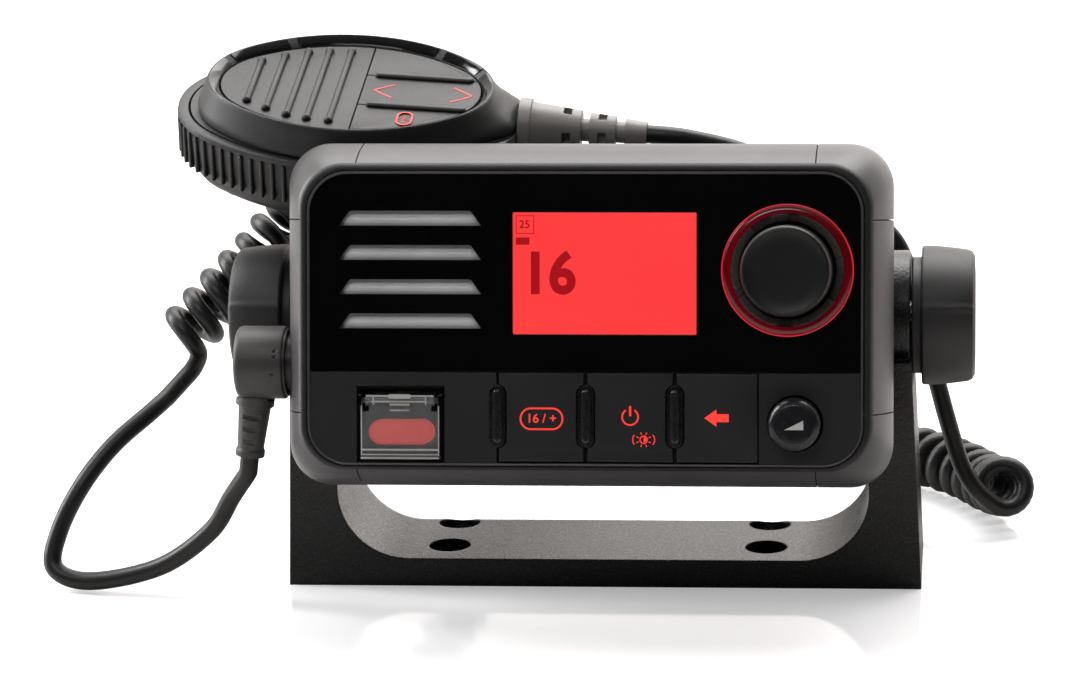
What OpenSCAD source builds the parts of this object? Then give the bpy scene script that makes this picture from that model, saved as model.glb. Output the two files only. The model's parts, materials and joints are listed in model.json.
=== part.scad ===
// Fixed-mount VHF marine radio: tilting transceiver, U bracket, two clamp knobs and a fist microphone
// on one curly cord. Millimetres. X runs to the right, Y away from the user, Z up. The origin is on the
// underside of the bracket, straight below the tilt axis.

/* [Bracket] */
// Thickness of an arm at its foot
arm_low_t = 15; // [13:0.1:18]
// Thickness of an arm at its top
arm_high_t = 12.2; // [10:0.1:13]
// Thickness of the base
base_t = 8.3; // [6:0.1:12]
// Inner bend radius between base and arms
bend_r = 20; // [10:1:26]
// How far the bracket reaches in front of the tilt axis
br_front = 20.5; // [16:0.5:20.5]
// Depth of the bracket from front to back
br_depth = 45; // [40:1:50]
// Rounding of the rear inner edge
rear_round = 8; // [3:0.5:8]
// Height at which the straps end below the round bosses
strap_top = 67; // [60:1:70]
// Radius of the round boss at the top of each arm
boss_r = 18.6; // [15:0.1:20]
// Height of the tilt axis
pivot_z = 76; // [76:0.5:84]
// Half the side-to-side spacing of the base holes
hole_x = 46.2; // [40:0.1:50]
// Distance of the front holes from the front edge
hole_front = 12.8; // [10:0.1:14]
// Front-to-back spacing of the base holes
hole_gap = 22.4; // [18:0.1:23]
// Diameter of the base holes
hole_d = 12.3; // [8:0.1:13]

/* [Pose] */
// Backward tilt of the transceiver, in degrees
tilt = 12.5; // [8:0.5:16]

/* [Front casing] */
// Distance of the front face from the tilt axis
face_d = 60; // [59:0.5:62]
// Height of the middle of the face above the tilt axis
face_v = 0.5; // [0.3:0.1:0.7]
// Height of the middle of the front casing above the tilt axis
case_v = 1; // [0.8:0.1:1.2]
// Half width of the front casing at its widest
case_w = 84; // [83.6:0.1:86]
// Half height of the front casing at its widest
case_h = 47.5; // [47.3:0.1:49]
// How far the casing narrows on each side from its widest line to the crest
flare_w = 5; // [4:0.1:6]
// How far the casing narrows at the top and bottom from its widest line to the crest
flare_h = 5.7; // [4.6:0.1:5.9]
// How far the widest line lies behind the face
flare_n = 17.3; // [14:0.1:20]
// Depth of the front casing behind the face
case_n = 28; // [27:0.5:29]
// Corner radius of the front casing
case_r = 12; // [9:0.5:14]
// Wall thickness of the front casing
case_wall = 2.5; // [2:0.1:3]
// Length of a corner piece along the top and bottom
corner_u = 21; // [18:0.5:24]
// Length of a corner piece along the sides
corner_v = 21; // [18:0.5:24]

/* [Face] */
// Width of the crest at the sides, from its outer edge to the face
crest_side = 3.6; // [3.2:0.1:4.4]
// Width of the crest at the top and bottom
crest_top = 2.3; // [2.2:0.1:2.5]
// Corner radius of the face
panel_r = 10.5; // [8:0.5:12]
// Height of the line between panel and key strip, from the tilt axis
strip_v = -14.2; // [-15:0.1:-14]
// Height of the display window
lcd_h = 33.4; // [28:0.1:34]
// Width of the lit ring round the main knob
ring_t = 4.8; // [3:0.1:6]
// How far the main knob stands out of the face
knob_n = 13.5; // [10:0.5:16]
// Radius of the volume knob
vol_r = 7.2; // [6:0.1:7.6]
// How far the volume knob stands out of the face
vol_n = 8; // [6:0.5:10]
// Number of speaker slots
slots = 4; // [3:1:4]
// Pitch of the speaker slots
slot_pitch = 9.35; // [8:0.05:9.4]
// Travel of the face keys
key_travel = 1; // [0.5:0.1:1.2]

/* [Rear chassis] */
// Half width of the chassis
chassis_w = 74; // [72:0.1:74]
// Top of the chassis above the tilt axis
chassis_top = 26.4; // [24:0.1:26.4]
// Bottom of the chassis below the tilt axis
chassis_low = 29.5; // [24:0.1:30]
// How far the chassis reaches behind the tilt axis
chassis_back = 30; // [26:0.5:31]
// Number of cooling slots in the back
fins = 17; // [9:2:19]

/* [Clamp knobs] */
// Radius of a clamp knob at its inner face
clamp_r = 20; // [18:0.1:21]
// Length of a clamp knob
clamp_len = 18.7; // [16:0.1:22]
// Radius of the clamp bolts
bolt_r = 4; // [3:0.1:4]

/* [Microphone] */
// Half length of the crest round the microphone's face
mic_a = 41.5; // [40:0.1:43]
// Half width of the crest round the microphone's face
mic_b = 29.5; // [28:0.1:30]
// Half length of the ribbed band
band_a = 51; // [50:0.1:52]
// Half width of the ribbed band
band_b = 34.5; // [34:0.1:35]
// Depth of the microphone body below its face
mic_deep = 28; // [27:0.5:30]
// Height of the hang-up stud
stud_h = 8; // [6:0.1:8]

/* [Cord] */
// Diameter of the cord
cord_d = 5.3; // [4.5:0.1:5.4]
// Radius of the curls, to the middle of the cord
curl_r = 6.5; // [6:0.1:6.8]
// Distance from one curl to the next
curl_pitch = 7.5; // [7.4:0.1:9]

/* [Hidden] */
$fn = 48;
eps = 0.01;
// gap between pieces of one assembly that only need to pass each other
slip = 0.15;
// gap round a key or cover that moves
key_gap = 0.35;
// gap between a turning and a fixed flat face
face_gap = 0.3;
// radial clearance of a shaft in its bore
run_gap = 0.04;
// colours
grey = "#7d7b7c";
black = "#161617";
satin = "#262627";
red = "#c21a1a";
metal = "#a9abad";

// ---- derived sizes ----
br_back = br_depth - br_front;
pad_in = chassis_w + face_gap;
pad_t = 2.1;
pad_r = 15;
arm_in = pad_in + pad_t;
arm_out_low = arm_in + arm_low_t;
arm_out_high = arm_in + arm_high_t;
arm_boss_out = arm_in + 11.6;
clamp_out = arm_boss_out + clamp_len;
clamp_neck_r = 16.7;
clamp_neck = 3.2;
crest_w = case_w - flare_w;
crest_h = case_h - flare_h;
panel_w = crest_w - crest_side;
panel_h = crest_h - crest_top;
panel_t = 3;
flange_n = panel_t + 0.1;
cavity_n = case_n - case_wall;
gasket_n = case_n + 1;
back_wall = 9;
lcd_w = 0.6671 * panel_w;
lcd_u = 0.0736 * panel_w;
lcd_v = 12.9;
ring_r = 0.24 * panel_w;
ring_u = panel_w - ring_r - 1.8;
ring_v = 13.9;
ring_hole = ring_r - ring_t;
knob_r = ring_hole - 0.9;
vol_u = ring_u + 2.1;
vol_v = -27.8;
slot_w = 0.5173 * panel_w;
slot_u = slot_w / 2 + 8.1 - panel_w;
slot_v = 27.9;
slot_h = 4;
slot_taper = 35.5;
slot_round = 1.2;
speaker_v = slot_v - slot_pitch * (slots - 1) / 2;
board_n = 16;
board_edge = 5.4;
board_low = panel_h - 3.5;
board_step = lcd_u - 29.5;
rib_u = [-0.317 * panel_w, 0.0053 * panel_w, 0.329 * panel_w];
rib_w = 4.3;
rib_top = -17.75;
rib_low = -34.5;
strip_back = 0.4;
key_top = 0.15;
key_t = 1.65;
key_u0 = [for (u = rib_u) u + key_gap / 2];
key_u1 = [rib_u[1] - key_gap / 2, rib_u[2] - key_gap / 2, vol_u - vol_r - 3];
key_v0 = face_v - panel_h + 0.4;
key_v1 = strip_v - key_gap;
key_mid = (key_v0 + key_v1) / 2;
recess_u = slot_u - 2.7;
recess_v = -28.4;
recess_w = 22.4;
recess_h = 19.6;
frame_wall = 0.7;
recess_n = 6;
pin_v = -21.9;
pin_n = 0.3;
pin_r = 0.8;
cover_w = 22;
cover_low = -38;
pill_w = 17.8;
pill_h = 6.8;
pill_v = -30.9;
shaft_r = 3;
insert_r = 6.5;
insert_in = chassis_w - 16;
antenna_u = chassis_w - 30;
plug_at = [-case_w - 8, -40.4, -12.5];
plug_r = 10.2;
plug_end = -case_w - 15;
plug_ring_r = 10.8;
boot_lean = 8;
boot_len = 18;
mic_at = [-73.6, -0.1, 65.3];
mic_roll = 3.8;
mic_lean = 17;
mic_r = 22;
mic_dome = 2.2;
mic_edge = 3;
band_r = 26;
mic_end = 49;
cord_z = -9;
boot_end = 86;

// ---- frames ----
function unit(v) = v / norm(v);
function turn_x(p, a) = [p.x, p.y * cos(a) - p.z * sin(a), p.y * sin(a) + p.z * cos(a)];
function turn_y(p, a) = [p.x * cos(a) + p.z * sin(a), p.y, p.z * cos(a) - p.x * sin(a)];
function radio_pt(p) = [0, 0, pivot_z] + turn_x(p, -tilt);
function mic_pt(p) = radio_pt(mic_at) + turn_y(turn_x(p, mic_lean), mic_roll);
function boot_dir() = turn_y([0, 0, -1], boot_lean);
function boot_pt(s) = radio_pt(plug_at) + [-1.2, 0, 0] + boot_dir() * s;

module in_radio() {
    translate([0, 0, pivot_z]) rotate([-tilt, 0, 0]) children();
}

// local X and Y lie in the face, local Z points out of it; n is counted outwards from the face
module on_face(u = 0, v = 0, n = 0) {
    translate([u, -face_d - n, v]) rotate([90, 0, 0]) children();
}

module in_mic() {
    in_radio()
        translate(mic_at)
            rotate([tilt, 0, 0])
                rotate([0, mic_roll, 0])
                    rotate([mic_lean, 0, 0])
                        children();
}

// ---- small shapes ----
module rrect(w, h, r) {
    square([w - 2 * r, h], center = true);
    square([w, h - 2 * r], center = true);
    for (sx = [-1, 1], sy = [-1, 1])
        translate([sx * (w / 2 - r), sy * (h / 2 - r)]) circle(r);
}

// a flat piece on the face from depth n0 out to n1, of the 2D outline given
module plate(n0, n1, u = 0, v = 0) {
    on_face(u, v, n0) linear_extrude(n1 - n0) children();
}

module x_rod(x0, x1, r) {
    translate([x0, 0, 0]) rotate([0, 90, 0]) cylinder(h = x1 - x0, r = r);
}

function arc(c, r, a0, a1, n) = [for (i = [0:n]) let (a = a0 + (a1 - a0) * i / n) c + r * [cos(a), sin(a)]];
function inner(p) = [for (i = [1:len(p) - 2]) p[i]];

// four-arc oval of half length a and half width b with end radius r
module oval(a, b, r) {
    side_r = ((a - r) * (a - r) + b * b - r * r) / (2 * (b - r));
    lean = atan((a - r) / (side_r - b));
    end_arc = arc([a - r, 0], r, lean - 90, 90 - lean, 18);
    side_arc = inner(arc([0, b - side_r], side_r, 90 - lean, 90 + lean, 14));
    polygon(concat(end_arc, side_arc, -1 * end_arc, -1 * side_arc));
}

// ---- bracket ----
module u_profile() {
    difference() {
        polygon([[-arm_out_low, 0], [arm_out_low, 0], [arm_out_high, strap_top], [-arm_out_high, strap_top]]);
        inner_profile();
    }
}

module inner_profile() {
    bend_x = arm_in - bend_r;
    translate([-bend_x, base_t]) square([2 * bend_x, 2 * pivot_z]);
    translate([-arm_in, base_t + bend_r]) square([2 * arm_in, 2 * pivot_z]);
    for (s = [-1, 1]) translate([s * bend_x, base_t + bend_r]) circle(bend_r, $fn = 96);
}

// cross-section cut off a rear edge: X runs into the wall, Y towards the front
module round_cutter() {
    difference() {
        translate([-1, -1]) square([rear_round + 1, rear_round + 1]);
        translate([rear_round, rear_round]) circle(rear_round, $fn = 64);
    }
}

module rear_rounding() {
    bend_x = arm_in - bend_r;
    bend_z = base_t + bend_r;
    translate([-bend_x, br_back, base_t]) rotate([180, 0, 0]) rotate([90, 0, 90])
        linear_extrude(2 * bend_x) rotate(90) mirror([0, 1]) round_cutter();
    for (s = [0, 1]) mirror([s, 0, 0]) {
        translate([arm_in, br_back, bend_z]) rotate([0, 0, 0])
            linear_extrude(pivot_z) mirror([0, 1]) round_cutter();
        translate([bend_x, br_back, bend_z]) rotate([90, 0, 0]) rotate([0, 0, -90])
            rotate_extrude(angle = 90, $fn = 96) translate([bend_r, 0]) round_cutter();
    }
}

module bracket_holes() {
    for (sx = [-1, 1], row = [0, 1])
        translate([sx * hole_x, hole_front - br_front + row * hole_gap, -1])
            cylinder(h = base_t + 2, d = hole_d);
    for (s = [0, 1]) mirror([s, 0, 0]) x_pivot_hole();
}

module x_pivot_hole() {
    translate([0, 0, pivot_z]) x_rod(arm_in - 1, arm_out_low + 1, bolt_r + 0.5);
}

module base_coring() {
    core_t = 4.6;
    wall = 4;
    translate([0, br_back - br_depth / 2, -1]) linear_extrude(core_t + 1) difference() {
        square([2 * arm_in - 6, br_depth - 2 * wall], center = true);
        for (sx = [-1, 1], row = [0, 1])
            translate([sx * hole_x, hole_front - br_depth / 2 + row * hole_gap]) circle(hole_d / 2 + 3);
        for (x = [-66, -24, 24, 66]) translate([x, 0]) square([3, br_depth], center = true);
        square([2 * arm_in, 3], center = true);
    }
}

module bracket() color("#4b4644") {
    difference() {
        union() {
            intersection() {
                translate([0, br_back, 0]) rotate([90, 0, 0]) linear_extrude(br_depth) u_profile();
                translate([-arm_out_low - 1, 0, 0]) rotate([90, 0, 90]) linear_extrude(2 * arm_out_low + 2)
                    polygon([[-br_front, 0], [br_back, 0], [br_back, pivot_z / 2],
                        [br_front - 1, strap_top], [-br_front, strap_top]]);
            }
            for (s = [0, 1]) mirror([s, 0, 0]) translate([0, 0, pivot_z])
                x_rod(arm_in, arm_boss_out, boss_r);
        }
        rear_rounding();
        bracket_holes();
        base_coring();
        for (s = [0, 1]) mirror([s, 0, 0]) translate([0, 0, pivot_z])
            x_rod(arm_boss_out, arm_out_low + 1, clamp_neck_r + 2 * face_gap);
    }
}

module friction_pads() color(satin) {
    for (s = [0, 1]) mirror([s, 0, 0]) translate([0, 0, pivot_z]) difference() {
        x_rod(pad_in, arm_in, pad_r);
        x_rod(pad_in - 1, arm_in + 1, bolt_r + 0.5);
    }
}

// ---- front casing ----
module case_slab(n, w, h, r) {
    on_face(0, case_v, n) linear_extrude(0.01) rrect(2 * w, 2 * h, r);
}

// outer form of the casing, drawn inwards by s
module case_form(s = 0) {
    hull() {
        case_slab(-case_n, case_w - 0.5 - s, case_h - 0.5 - s, case_r - s);
        case_slab(-flare_n, case_w - s, case_h - s, case_r - s);
        case_slab(-8.5, case_w - 2 - s, case_h - 2.2 - s, case_r - s);
        case_slab(-1.5, crest_w - s, crest_h - s, case_r - s);
        case_slab(-eps, crest_w - 1.5 - s, crest_h - 1.5 - s, case_r - s);
    }
}

module corner_blocks(grow = 0) {
    for (su = [-1, 1], sv = [-1, 1])
        on_face(su * (case_w - corner_u / 2), case_v + sv * (case_h - corner_v / 2), -case_n - 1)
            linear_extrude(case_n + 3)
                square([corner_u + grow * 2, corner_v + grow * 2], center = true);
}

corner_skin = 1.6;
seam = 0.12;

module bezel() color(grey) in_radio() {
    difference() {
        case_form();
        difference() {
            corner_blocks(seam);
            case_form(corner_skin);
        }
        plate(-flange_n, 1, 0, face_v) rrect(2 * panel_w + 1.8, 2 * panel_h + 1.8, panel_r + 0.9);
        plate(-cavity_n, 0, 0, face_v) rrect(2 * panel_w - 8, 2 * panel_h - 2.4, panel_r - 1);
        plate(-cavity_n, -flange_n - 2.4, 0, case_v) rrect(2 * case_w - 13, 2 * case_h - 15, case_r - 3);
        plate(-recess_n - 3, 0, recess_u, recess_v)
            square([recess_w + 2 * frame_wall + 0.4, recess_h + 2 * frame_wall + 0.4], center = true);
        plate(-case_n - 1, -cavity_n + 1, 0, (chassis_top - chassis_low) / 2)
            square([2 * chassis_w - 10, chassis_top + chassis_low - 10], center = true);
        translate([0, plug_at.y, plug_at.z]) x_rod(-case_w - 1, -case_w + 8, 8);
        screw_shafts(1.6);
    }
}

module corner_caps() color("#6f6e70") in_radio() {
    difference() {
        intersection() {
            case_form();
            corner_blocks(0);
        }
        case_form(corner_skin - seam / 2);
        plate(-flange_n, 1, 0, face_v) rrect(2 * panel_w + 1.8, 2 * panel_h + 1.8, panel_r + 0.9);
        plate(-case_n - 1, -case_n + 0.6, 0, 0) square([4 * case_w, 4 * case_h], center = true);
    }
}

module screw_shafts(r) {
    for (su = [-1, 1], v = [chassis_top - 5, 5 - chassis_low])
        translate([su * (chassis_w - 5), chassis_back, v]) rotate([90, 0, 0])
            cylinder(h = chassis_back + face_d - cavity_n - 0.2, r = r);
}

module case_screws() color(metal) in_radio() {
    screw_shafts(1.5);
    for (su = [-1, 1], v = [chassis_top - 5, 5 - chassis_low])
        translate([su * (chassis_w - 5), chassis_back - 2, v]) rotate([90, 0, 0]) difference() {
            cylinder(h = 2.5, r = 2.8);
            translate([0, 0, -1]) cylinder(h = 2, r = 1.5, $fn = 6);
        }
}

// ---- face ----
module face_outline() {
    rrect(2 * panel_w, 2 * panel_h, panel_r);
}

module face_part(v0, v1) {
    intersection() {
        face_outline();
        translate([-case_w, v0 - face_v]) square([2 * case_w, v1 - v0]);
    }
}

// speaker slot: its ends lean inwards to the top, and its upper corners are round
module slot_shape() {
    w = slot_w / 2;
    h = slot_h / 2;
    x = w - (slot_round + sin(slot_taper) * (slot_h - slot_round)) / cos(slot_taper);
    corner = arc([x, h - slot_round], slot_round, slot_taper, 90, 6);
    polygon(concat([[-w, -h], [w, -h]], corner, [for (i = [6:-1:0]) [-corner[i].x, corner[i].y]]));
}

module front_panel() color(black) in_radio() {
    difference() {
        plate(-panel_t, 0, 0, face_v) face_part(strip_v + slip / 2, case_h);
        plate(-panel_t - 1, 1, lcd_u, lcd_v) square([lcd_w, lcd_h], center = true);
        plate(-panel_t - 1, 1, ring_u, ring_v) circle(ring_r + 0.1, $fn = 96);
        for (i = [0:slots - 1])
            plate(-panel_t - 1, 1, slot_u, slot_v - i * slot_pitch) slot_shape();
    }
}

module panel_rim() color("#8d8c8e") in_radio() {
    plate(-panel_t, 0.25, 0, face_v) difference() {
        rrect(2 * panel_w + 1.6, 2 * panel_h + 1.6, panel_r + 0.8);
        rrect(2 * panel_w + 0.1, 2 * panel_h + 0.1, panel_r + 0.05);
    }
}

module rib_shape(grow = 0) {
    rrect(rib_w + 2 * grow, rib_top - rib_low + 2 * grow, rib_w / 2 - 0.05 + grow);
}

// outline of a key: the strip's full height between two ribs, cut back round them
module key_shape(i) {
    difference() {
        translate([key_u0[i], key_v0]) square([key_u1[i] - key_u0[i], key_v1 - key_v0]);
        for (u = rib_u) translate([u, (rib_top + rib_low) / 2]) rib_shape(key_gap);
    }
}

module key_strip() color(satin) in_radio() {
    difference() {
        plate(-panel_t, 0, 0, face_v) face_part(-case_h, strip_v - slip / 2);
        plate(strip_back - panel_t, 1, (key_u0[0] + key_u1[2]) / 2, 0)
            square([key_u1[2] - key_u0[0] + 2 * key_gap, 2 * case_h], center = true);
        for (i = [0:2]) plate(-panel_t - 1, 1, (key_u0[i] + key_u1[i]) / 2, key_mid) circle(2.5 + key_gap);
        plate(-panel_t - 1, 1, recess_u, recess_v)
            square([recess_w + 2 * frame_wall + 0.4, recess_h + 2 * frame_wall + 0.4], center = true);
        plate(-panel_t - 1, 1, vol_u, vol_v) circle(vol_r + 0.5);
    }
    for (u = rib_u) {
        plate(strip_back - panel_t - eps, -0.5, u, (rib_top + rib_low) / 2) rib_shape();
        plate(strip_back - panel_t - eps, 0.5, u, (rib_top + rib_low) / 2) rib_shape(-1);
    }
}

module lcd_lens() color("#5a1012") in_radio() {
    plate(-1.7, -0.15, lcd_u, lcd_v) square([lcd_w - slip, lcd_h - slip], center = true);
}

module lcd_module() color("#3a3d40") in_radio() {
    plate(-6.4, -panel_t - 0.1, lcd_u, lcd_v) square([lcd_w + 3, lcd_h + 5], center = true);
    plate(-panel_t - 0.2, -1.75, lcd_u, lcd_v) square([lcd_w - 1, lcd_h - 1], center = true);
}

module lcd_backlight() color("#f2f2ee") in_radio() {
    plate(-9, -6.45, lcd_u, lcd_v) square([lcd_w + 3, lcd_h + 4], center = true);
}

module speaker_grille() color("#8c8f92") in_radio() {
    difference() {
        plate(-6, -panel_t - 0.1, slot_u, speaker_v) square([slot_w + 1, slot_pitch * slots + 2], center = true);
        for (i = [0:slots - 1])
            on_face(slot_u, slot_v - i * slot_pitch + 1, -panel_t)
                rotate([-28, 0, 0]) cube([slot_w - 2, slot_h + 1, 4.2], center = true);
        for (i = [0:slots - 1], x = [-15:6:15])
            plate(-7, -4, slot_u + x, slot_v - i * slot_pitch + 1) circle(1.2);
    }
}

module speaker_basket() color("#2b2c2e") in_radio() {
    on_face(slot_u, speaker_v, -6.1) rotate([180, 0, 0]) difference() {
        union() {
            cylinder(h = 1.6, r = 20);
            cylinder(h = 9, r1 = 19, r2 = 11);
        }
        translate([0, 0, -1]) cylinder(h = 9.2, r1 = 18.6, r2 = 9.6);
        translate([0, 0, 7]) cylinder(h = 3, r = 8);
    }
}

module speaker_cone() color("#1c1c1e") in_radio() {
    on_face(slot_u, speaker_v, -6.6) rotate([180, 0, 0]) difference() {
        cylinder(h = 6, r1 = 16.6, r2 = 6);
        translate([0, 0, -0.01]) cylinder(h = 5, r1 = 15.6, r2 = 5.4);
    }
}

module speaker_magnet() color(metal) in_radio() {
    on_face(slot_u, speaker_v, -15.15) rotate([180, 0, 0]) cylinder(h = 7, r = 11);
}

// ---- knobs on the face ----
module knob_ring() color("#5c1114") in_radio() {
    on_face(ring_u, ring_v, -panel_t) difference() {
        union() {
            cylinder(h = panel_t + 0.6, r = ring_r, $fn = 96);
            translate([0, 0, panel_t + 0.6]) cylinder(h = 1, r1 = ring_r, r2 = ring_r - 1.2, $fn = 96);
        }
        translate([0, 0, -1]) cylinder(h = panel_t + 4, r = ring_hole, $fn = 96);
    }
}

module encoder(u, v, size) {
    on_face(u, v, -board_n) difference() {
        union() {
            linear_extrude(7) square([size, size], center = true);
            cylinder(h = board_n - 4, r = 4.6);
        }
        translate([0, 0, -1]) cylinder(h = board_n, r = shaft_r + run_gap);
    }
}

module encoder_main() color(metal) in_radio() {
    encoder(ring_u, ring_v, 13);
}

module encoder_vol() color(metal) in_radio() {
    encoder(vol_u, vol_v, 11);
}

module shaft(u, v, tip) {
    on_face(u, v, -board_n + 1.6) cylinder(h = board_n - 1.6 + tip, r = shaft_r);
}

module main_shaft() color(metal) in_radio() {
    shaft(ring_u, ring_v, knob_n - 3);
}

module vol_shaft() color(metal) in_radio() {
    shaft(vol_u, vol_v, vol_n - 3);
}

// knob with a skirt, a rounded crown and a bore for its shaft; foot is the gap above the face
module face_knob(r, foot, tip, crown) {
    difference() {
        rotate_extrude($fn = 96) {
            translate([0, foot]) square([r, tip - foot - crown]);
            translate([0, tip - crown - eps]) square([r - crown, crown + eps]);
            translate([r - crown, tip - crown]) circle(crown);
        }
        translate([0, 0, foot - 1]) cylinder(h = tip - foot - 2 + 0.1, r = shaft_r + run_gap);
    }
}

module main_knob() color("#1e1e20") in_radio() {
    on_face(ring_u, ring_v, 0) face_knob(knob_r, -1.6, knob_n, 1.6);
}

module vol_knob() color("#1e1e20") in_radio() {
    on_face(vol_u, vol_v, 0) face_knob(vol_r, -1.2, vol_n, 3.2);
}

// ---- keys ----
module face_key(i) {
    in_radio() {
        plate(key_top - key_t, key_top) key_shape(i);
        plate(key_travel - board_n + 1, key_top - key_t + eps, (key_u0[i] + key_u1[i]) / 2, key_mid) circle(2.5);
    }
}

module key_16() color(satin) {
    face_key(0);
    in_radio() plate(0.1, 0.22, (key_u0[0] + key_u1[0]) / 2, -26.8) difference() {
        rrect(11.9, 6, 2.9);
        rrect(10.5, 4.6, 2.2);
    }
}

module key_power() color(satin) {
    face_key(1);
    in_radio() plate(0.1, 0.22, (key_u0[1] + key_u1[1]) / 2, -26.2) difference() {
        circle(2.4);
        circle(1.7);
        translate([0, 2]) square([1.6, 2.4], center = true);
    }
}

module key_back() color(satin) {
    face_key(2);
    in_radio() plate(0.1, 0.22, (key_u0[2] + key_u1[2]) / 2, -26.4) polygon([[-3.3, 0], [0, 2.3], [0, 0.6],
        [3.3, 0.6], [3.3, -0.6], [0, -0.6], [0, -2.3]]);
}

// ---- distress button under its cover ----
module distress_frame() color(satin) in_radio() {
    difference() {
        plate(-recess_n - 1.6, 0.1, recess_u, recess_v)
            square([recess_w + 2 * frame_wall, recess_h + 2 * frame_wall], center = true);
        plate(-recess_n, 1, recess_u, recess_v) square([recess_w, recess_h], center = true);
        plate(-recess_n - 3, 1, recess_u, pill_v) rrect(pill_w + 1, pill_h + 1, (pill_h + 1) / 2 - 0.05);
        on_face(recess_u, pin_v, pin_n - 2) cube([recess_w - 1, 3, 6], center = true);
    }
    for (s = [-1, 1])
        on_face(recess_u + s * (recess_w / 2 - 0.25), pin_v, pin_n - 1.2)
            cube([0.9, 3, 4.4], center = true);
}

module cover_pin() color(metal) in_radio() {
    translate([0, -face_d - pin_n, pin_v])
        x_rod(recess_u - recess_w / 2 + 0.71, recess_u + recess_w / 2 - 0.71, pin_r);
}

module distress_cover() color("#b9bec2") in_radio() {
    knuckle_w = cover_w - 3;
    neck = 3;
    difference() {
        union() {
            plate(-0.4, 1, recess_u, (pin_v - neck + cover_low) / 2)
                rrect(cover_w - 0.4, pin_v - neck - cover_low, 1.4);
            translate([recess_u, -face_d - pin_n, pin_v]) x_rod(-knuckle_w / 2, knuckle_w / 2, 1.5);
            plate(-0.4, 1, recess_u, pin_v - neck / 2) square([knuckle_w - 2, neck + 1], center = true);
            plate(1 - eps, 1.6, recess_u, pin_v - 1.2) square([6, 3.4], center = true);
            for (v = [cover_low + 1.2, cover_low + 2.6])
                plate(1 - eps, 1.4, recess_u, v) square([cover_w - 3, 0.5], center = true);
        }
        translate([recess_u, -face_d - pin_n, pin_v]) x_rod(-cover_w, cover_w, pin_r + run_gap);
    }
}

module distress_button() color(red) in_radio() {
    plate(-recess_n - 2.4, -2.6, recess_u, pill_v) rrect(pill_w, pill_h, pill_h / 2 - 0.05);
    plate(key_travel * 1.5 - board_n + 1, -recess_n - 2.3, recess_u, pill_v) circle(2.2);
}

// ---- inside ----
module main_board() color("#1f5a3a") in_radio() {
    plate(-board_n - 1.6, -board_n - 0.02, 0, 0) difference() {
        union() {
            translate([board_step, -board_low]) square([panel_w - 3.5 - board_step, 2 * board_low - 2]);
            translate([board_edge - panel_w, -board_low]) square([board_step + panel_w - 1.5, 22]);
        }
        for (s = [-1, 1]) translate([s * (panel_w - 9.4), 3 - board_low]) circle(1.6);
    }
}

module power_module() color("#8a8f94") in_radio() {
    translate([0, chassis_back - back_wall - 12.02, -2]) cube([chassis_w - 4, 24, 34], center = true);
}

module chassis_rect(grow) {
    translate([0, (chassis_top - chassis_low) / 2])
        square([2 * (chassis_w + grow), chassis_top + chassis_low + 2 * grow], center = true);
}

module case_gasket() color(black) in_radio() {
    plate(-gasket_n, -case_n - 0.01) difference() {
        chassis_rect(-0.6);
        chassis_rect(-4);
        for (su = [-1, 1], v = [chassis_top - 5, 5 - chassis_low])
            translate([su * (chassis_w - 5), v]) circle(1.6);
    }
}

module rear_chassis() color("#2a2b2d") in_radio() {
    len = chassis_back + face_d - gasket_n - 0.02;
    difference() {
        translate([0, chassis_back, 0]) rotate([90, 0, 0]) linear_extrude(len) chassis_rect(0);
        difference() {
            translate([0, chassis_back - back_wall, 0]) rotate([90, 0, 0]) linear_extrude(len) chassis_rect(-3);
            for (su = [-1, 1], v = [chassis_top - 5, 5 - chassis_low])
                translate([su * (chassis_w - 5), chassis_back, v]) rotate([90, 0, 0])
                    cylinder(h = len + 2, r = 4.5);
            for (s = [0, 1]) mirror([s, 0, 0]) x_rod(insert_in, chassis_w, insert_r + 3);
        }
        for (s = [0, 1]) mirror([s, 0, 0]) x_rod(insert_in - 1, chassis_w + 1, insert_r);
        for (i = [0:fins - 1]) {
            x = (i - (fins - 1) / 2) * 6.6;
            translate([x, chassis_back, 0]) cube([3.2, 11, 2 * (chassis_top + chassis_low)], center = true);
        }
        for (su = [-1, 1], v = [chassis_top - 5, 5 - chassis_low])
            translate([su * (chassis_w - 5), chassis_back + 1, v]) rotate([90, 0, 0]) {
                cylinder(h = 3.51, r = 3);
                cylinder(h = len + 2, r = 1.6);
            }
    }
    translate([antenna_u, chassis_back - 6, 0]) rotate([-90, 0, 0]) cylinder(h = 6, r = 11);
    translate([-antenna_u, chassis_back - 3, -4]) cube([20, 6, 16], center = true);
}

module thread_inserts() color("#b08d4a") in_radio() {
    for (s = [0, 1]) mirror([s, 0, 0]) difference() {
        x_rod(insert_in, chassis_w, insert_r - 0.02);
        x_rod(insert_in - 1, chassis_w + 1, bolt_r + run_gap);
    }
}

module antenna_socket() color(metal) in_radio() {
    translate([antenna_u, chassis_back + 0.02, 0]) rotate([-90, 0, 0]) difference() {
        union() {
            cylinder(h = 2.5, r = 10);
            cylinder(h = 15, r = 7.95);
        }
        translate([0, 0, 11.5]) difference() {
            cylinder(h = 10, r = 6.2);
            cylinder(h = 2.8, r = 3.2);
        }
        translate([0, 0, 11]) cylinder(h = 6, r = 1.9);
    }
}

module power_inlet() color(black) in_radio() {
    translate([-antenna_u, chassis_back + 0.02 + 5, -4]) difference() {
        cube([17, 10, 13], center = true);
        translate([0, 6.5, 0]) cube([13.5, 10, 9.5], center = true);
    }
    for (s = [-1, 1]) translate([s * 3.6 - antenna_u, chassis_back + 6, -4])
        rotate([-90, 0, 0]) cylinder(h = 3.6, r = 1.1);
}

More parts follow.
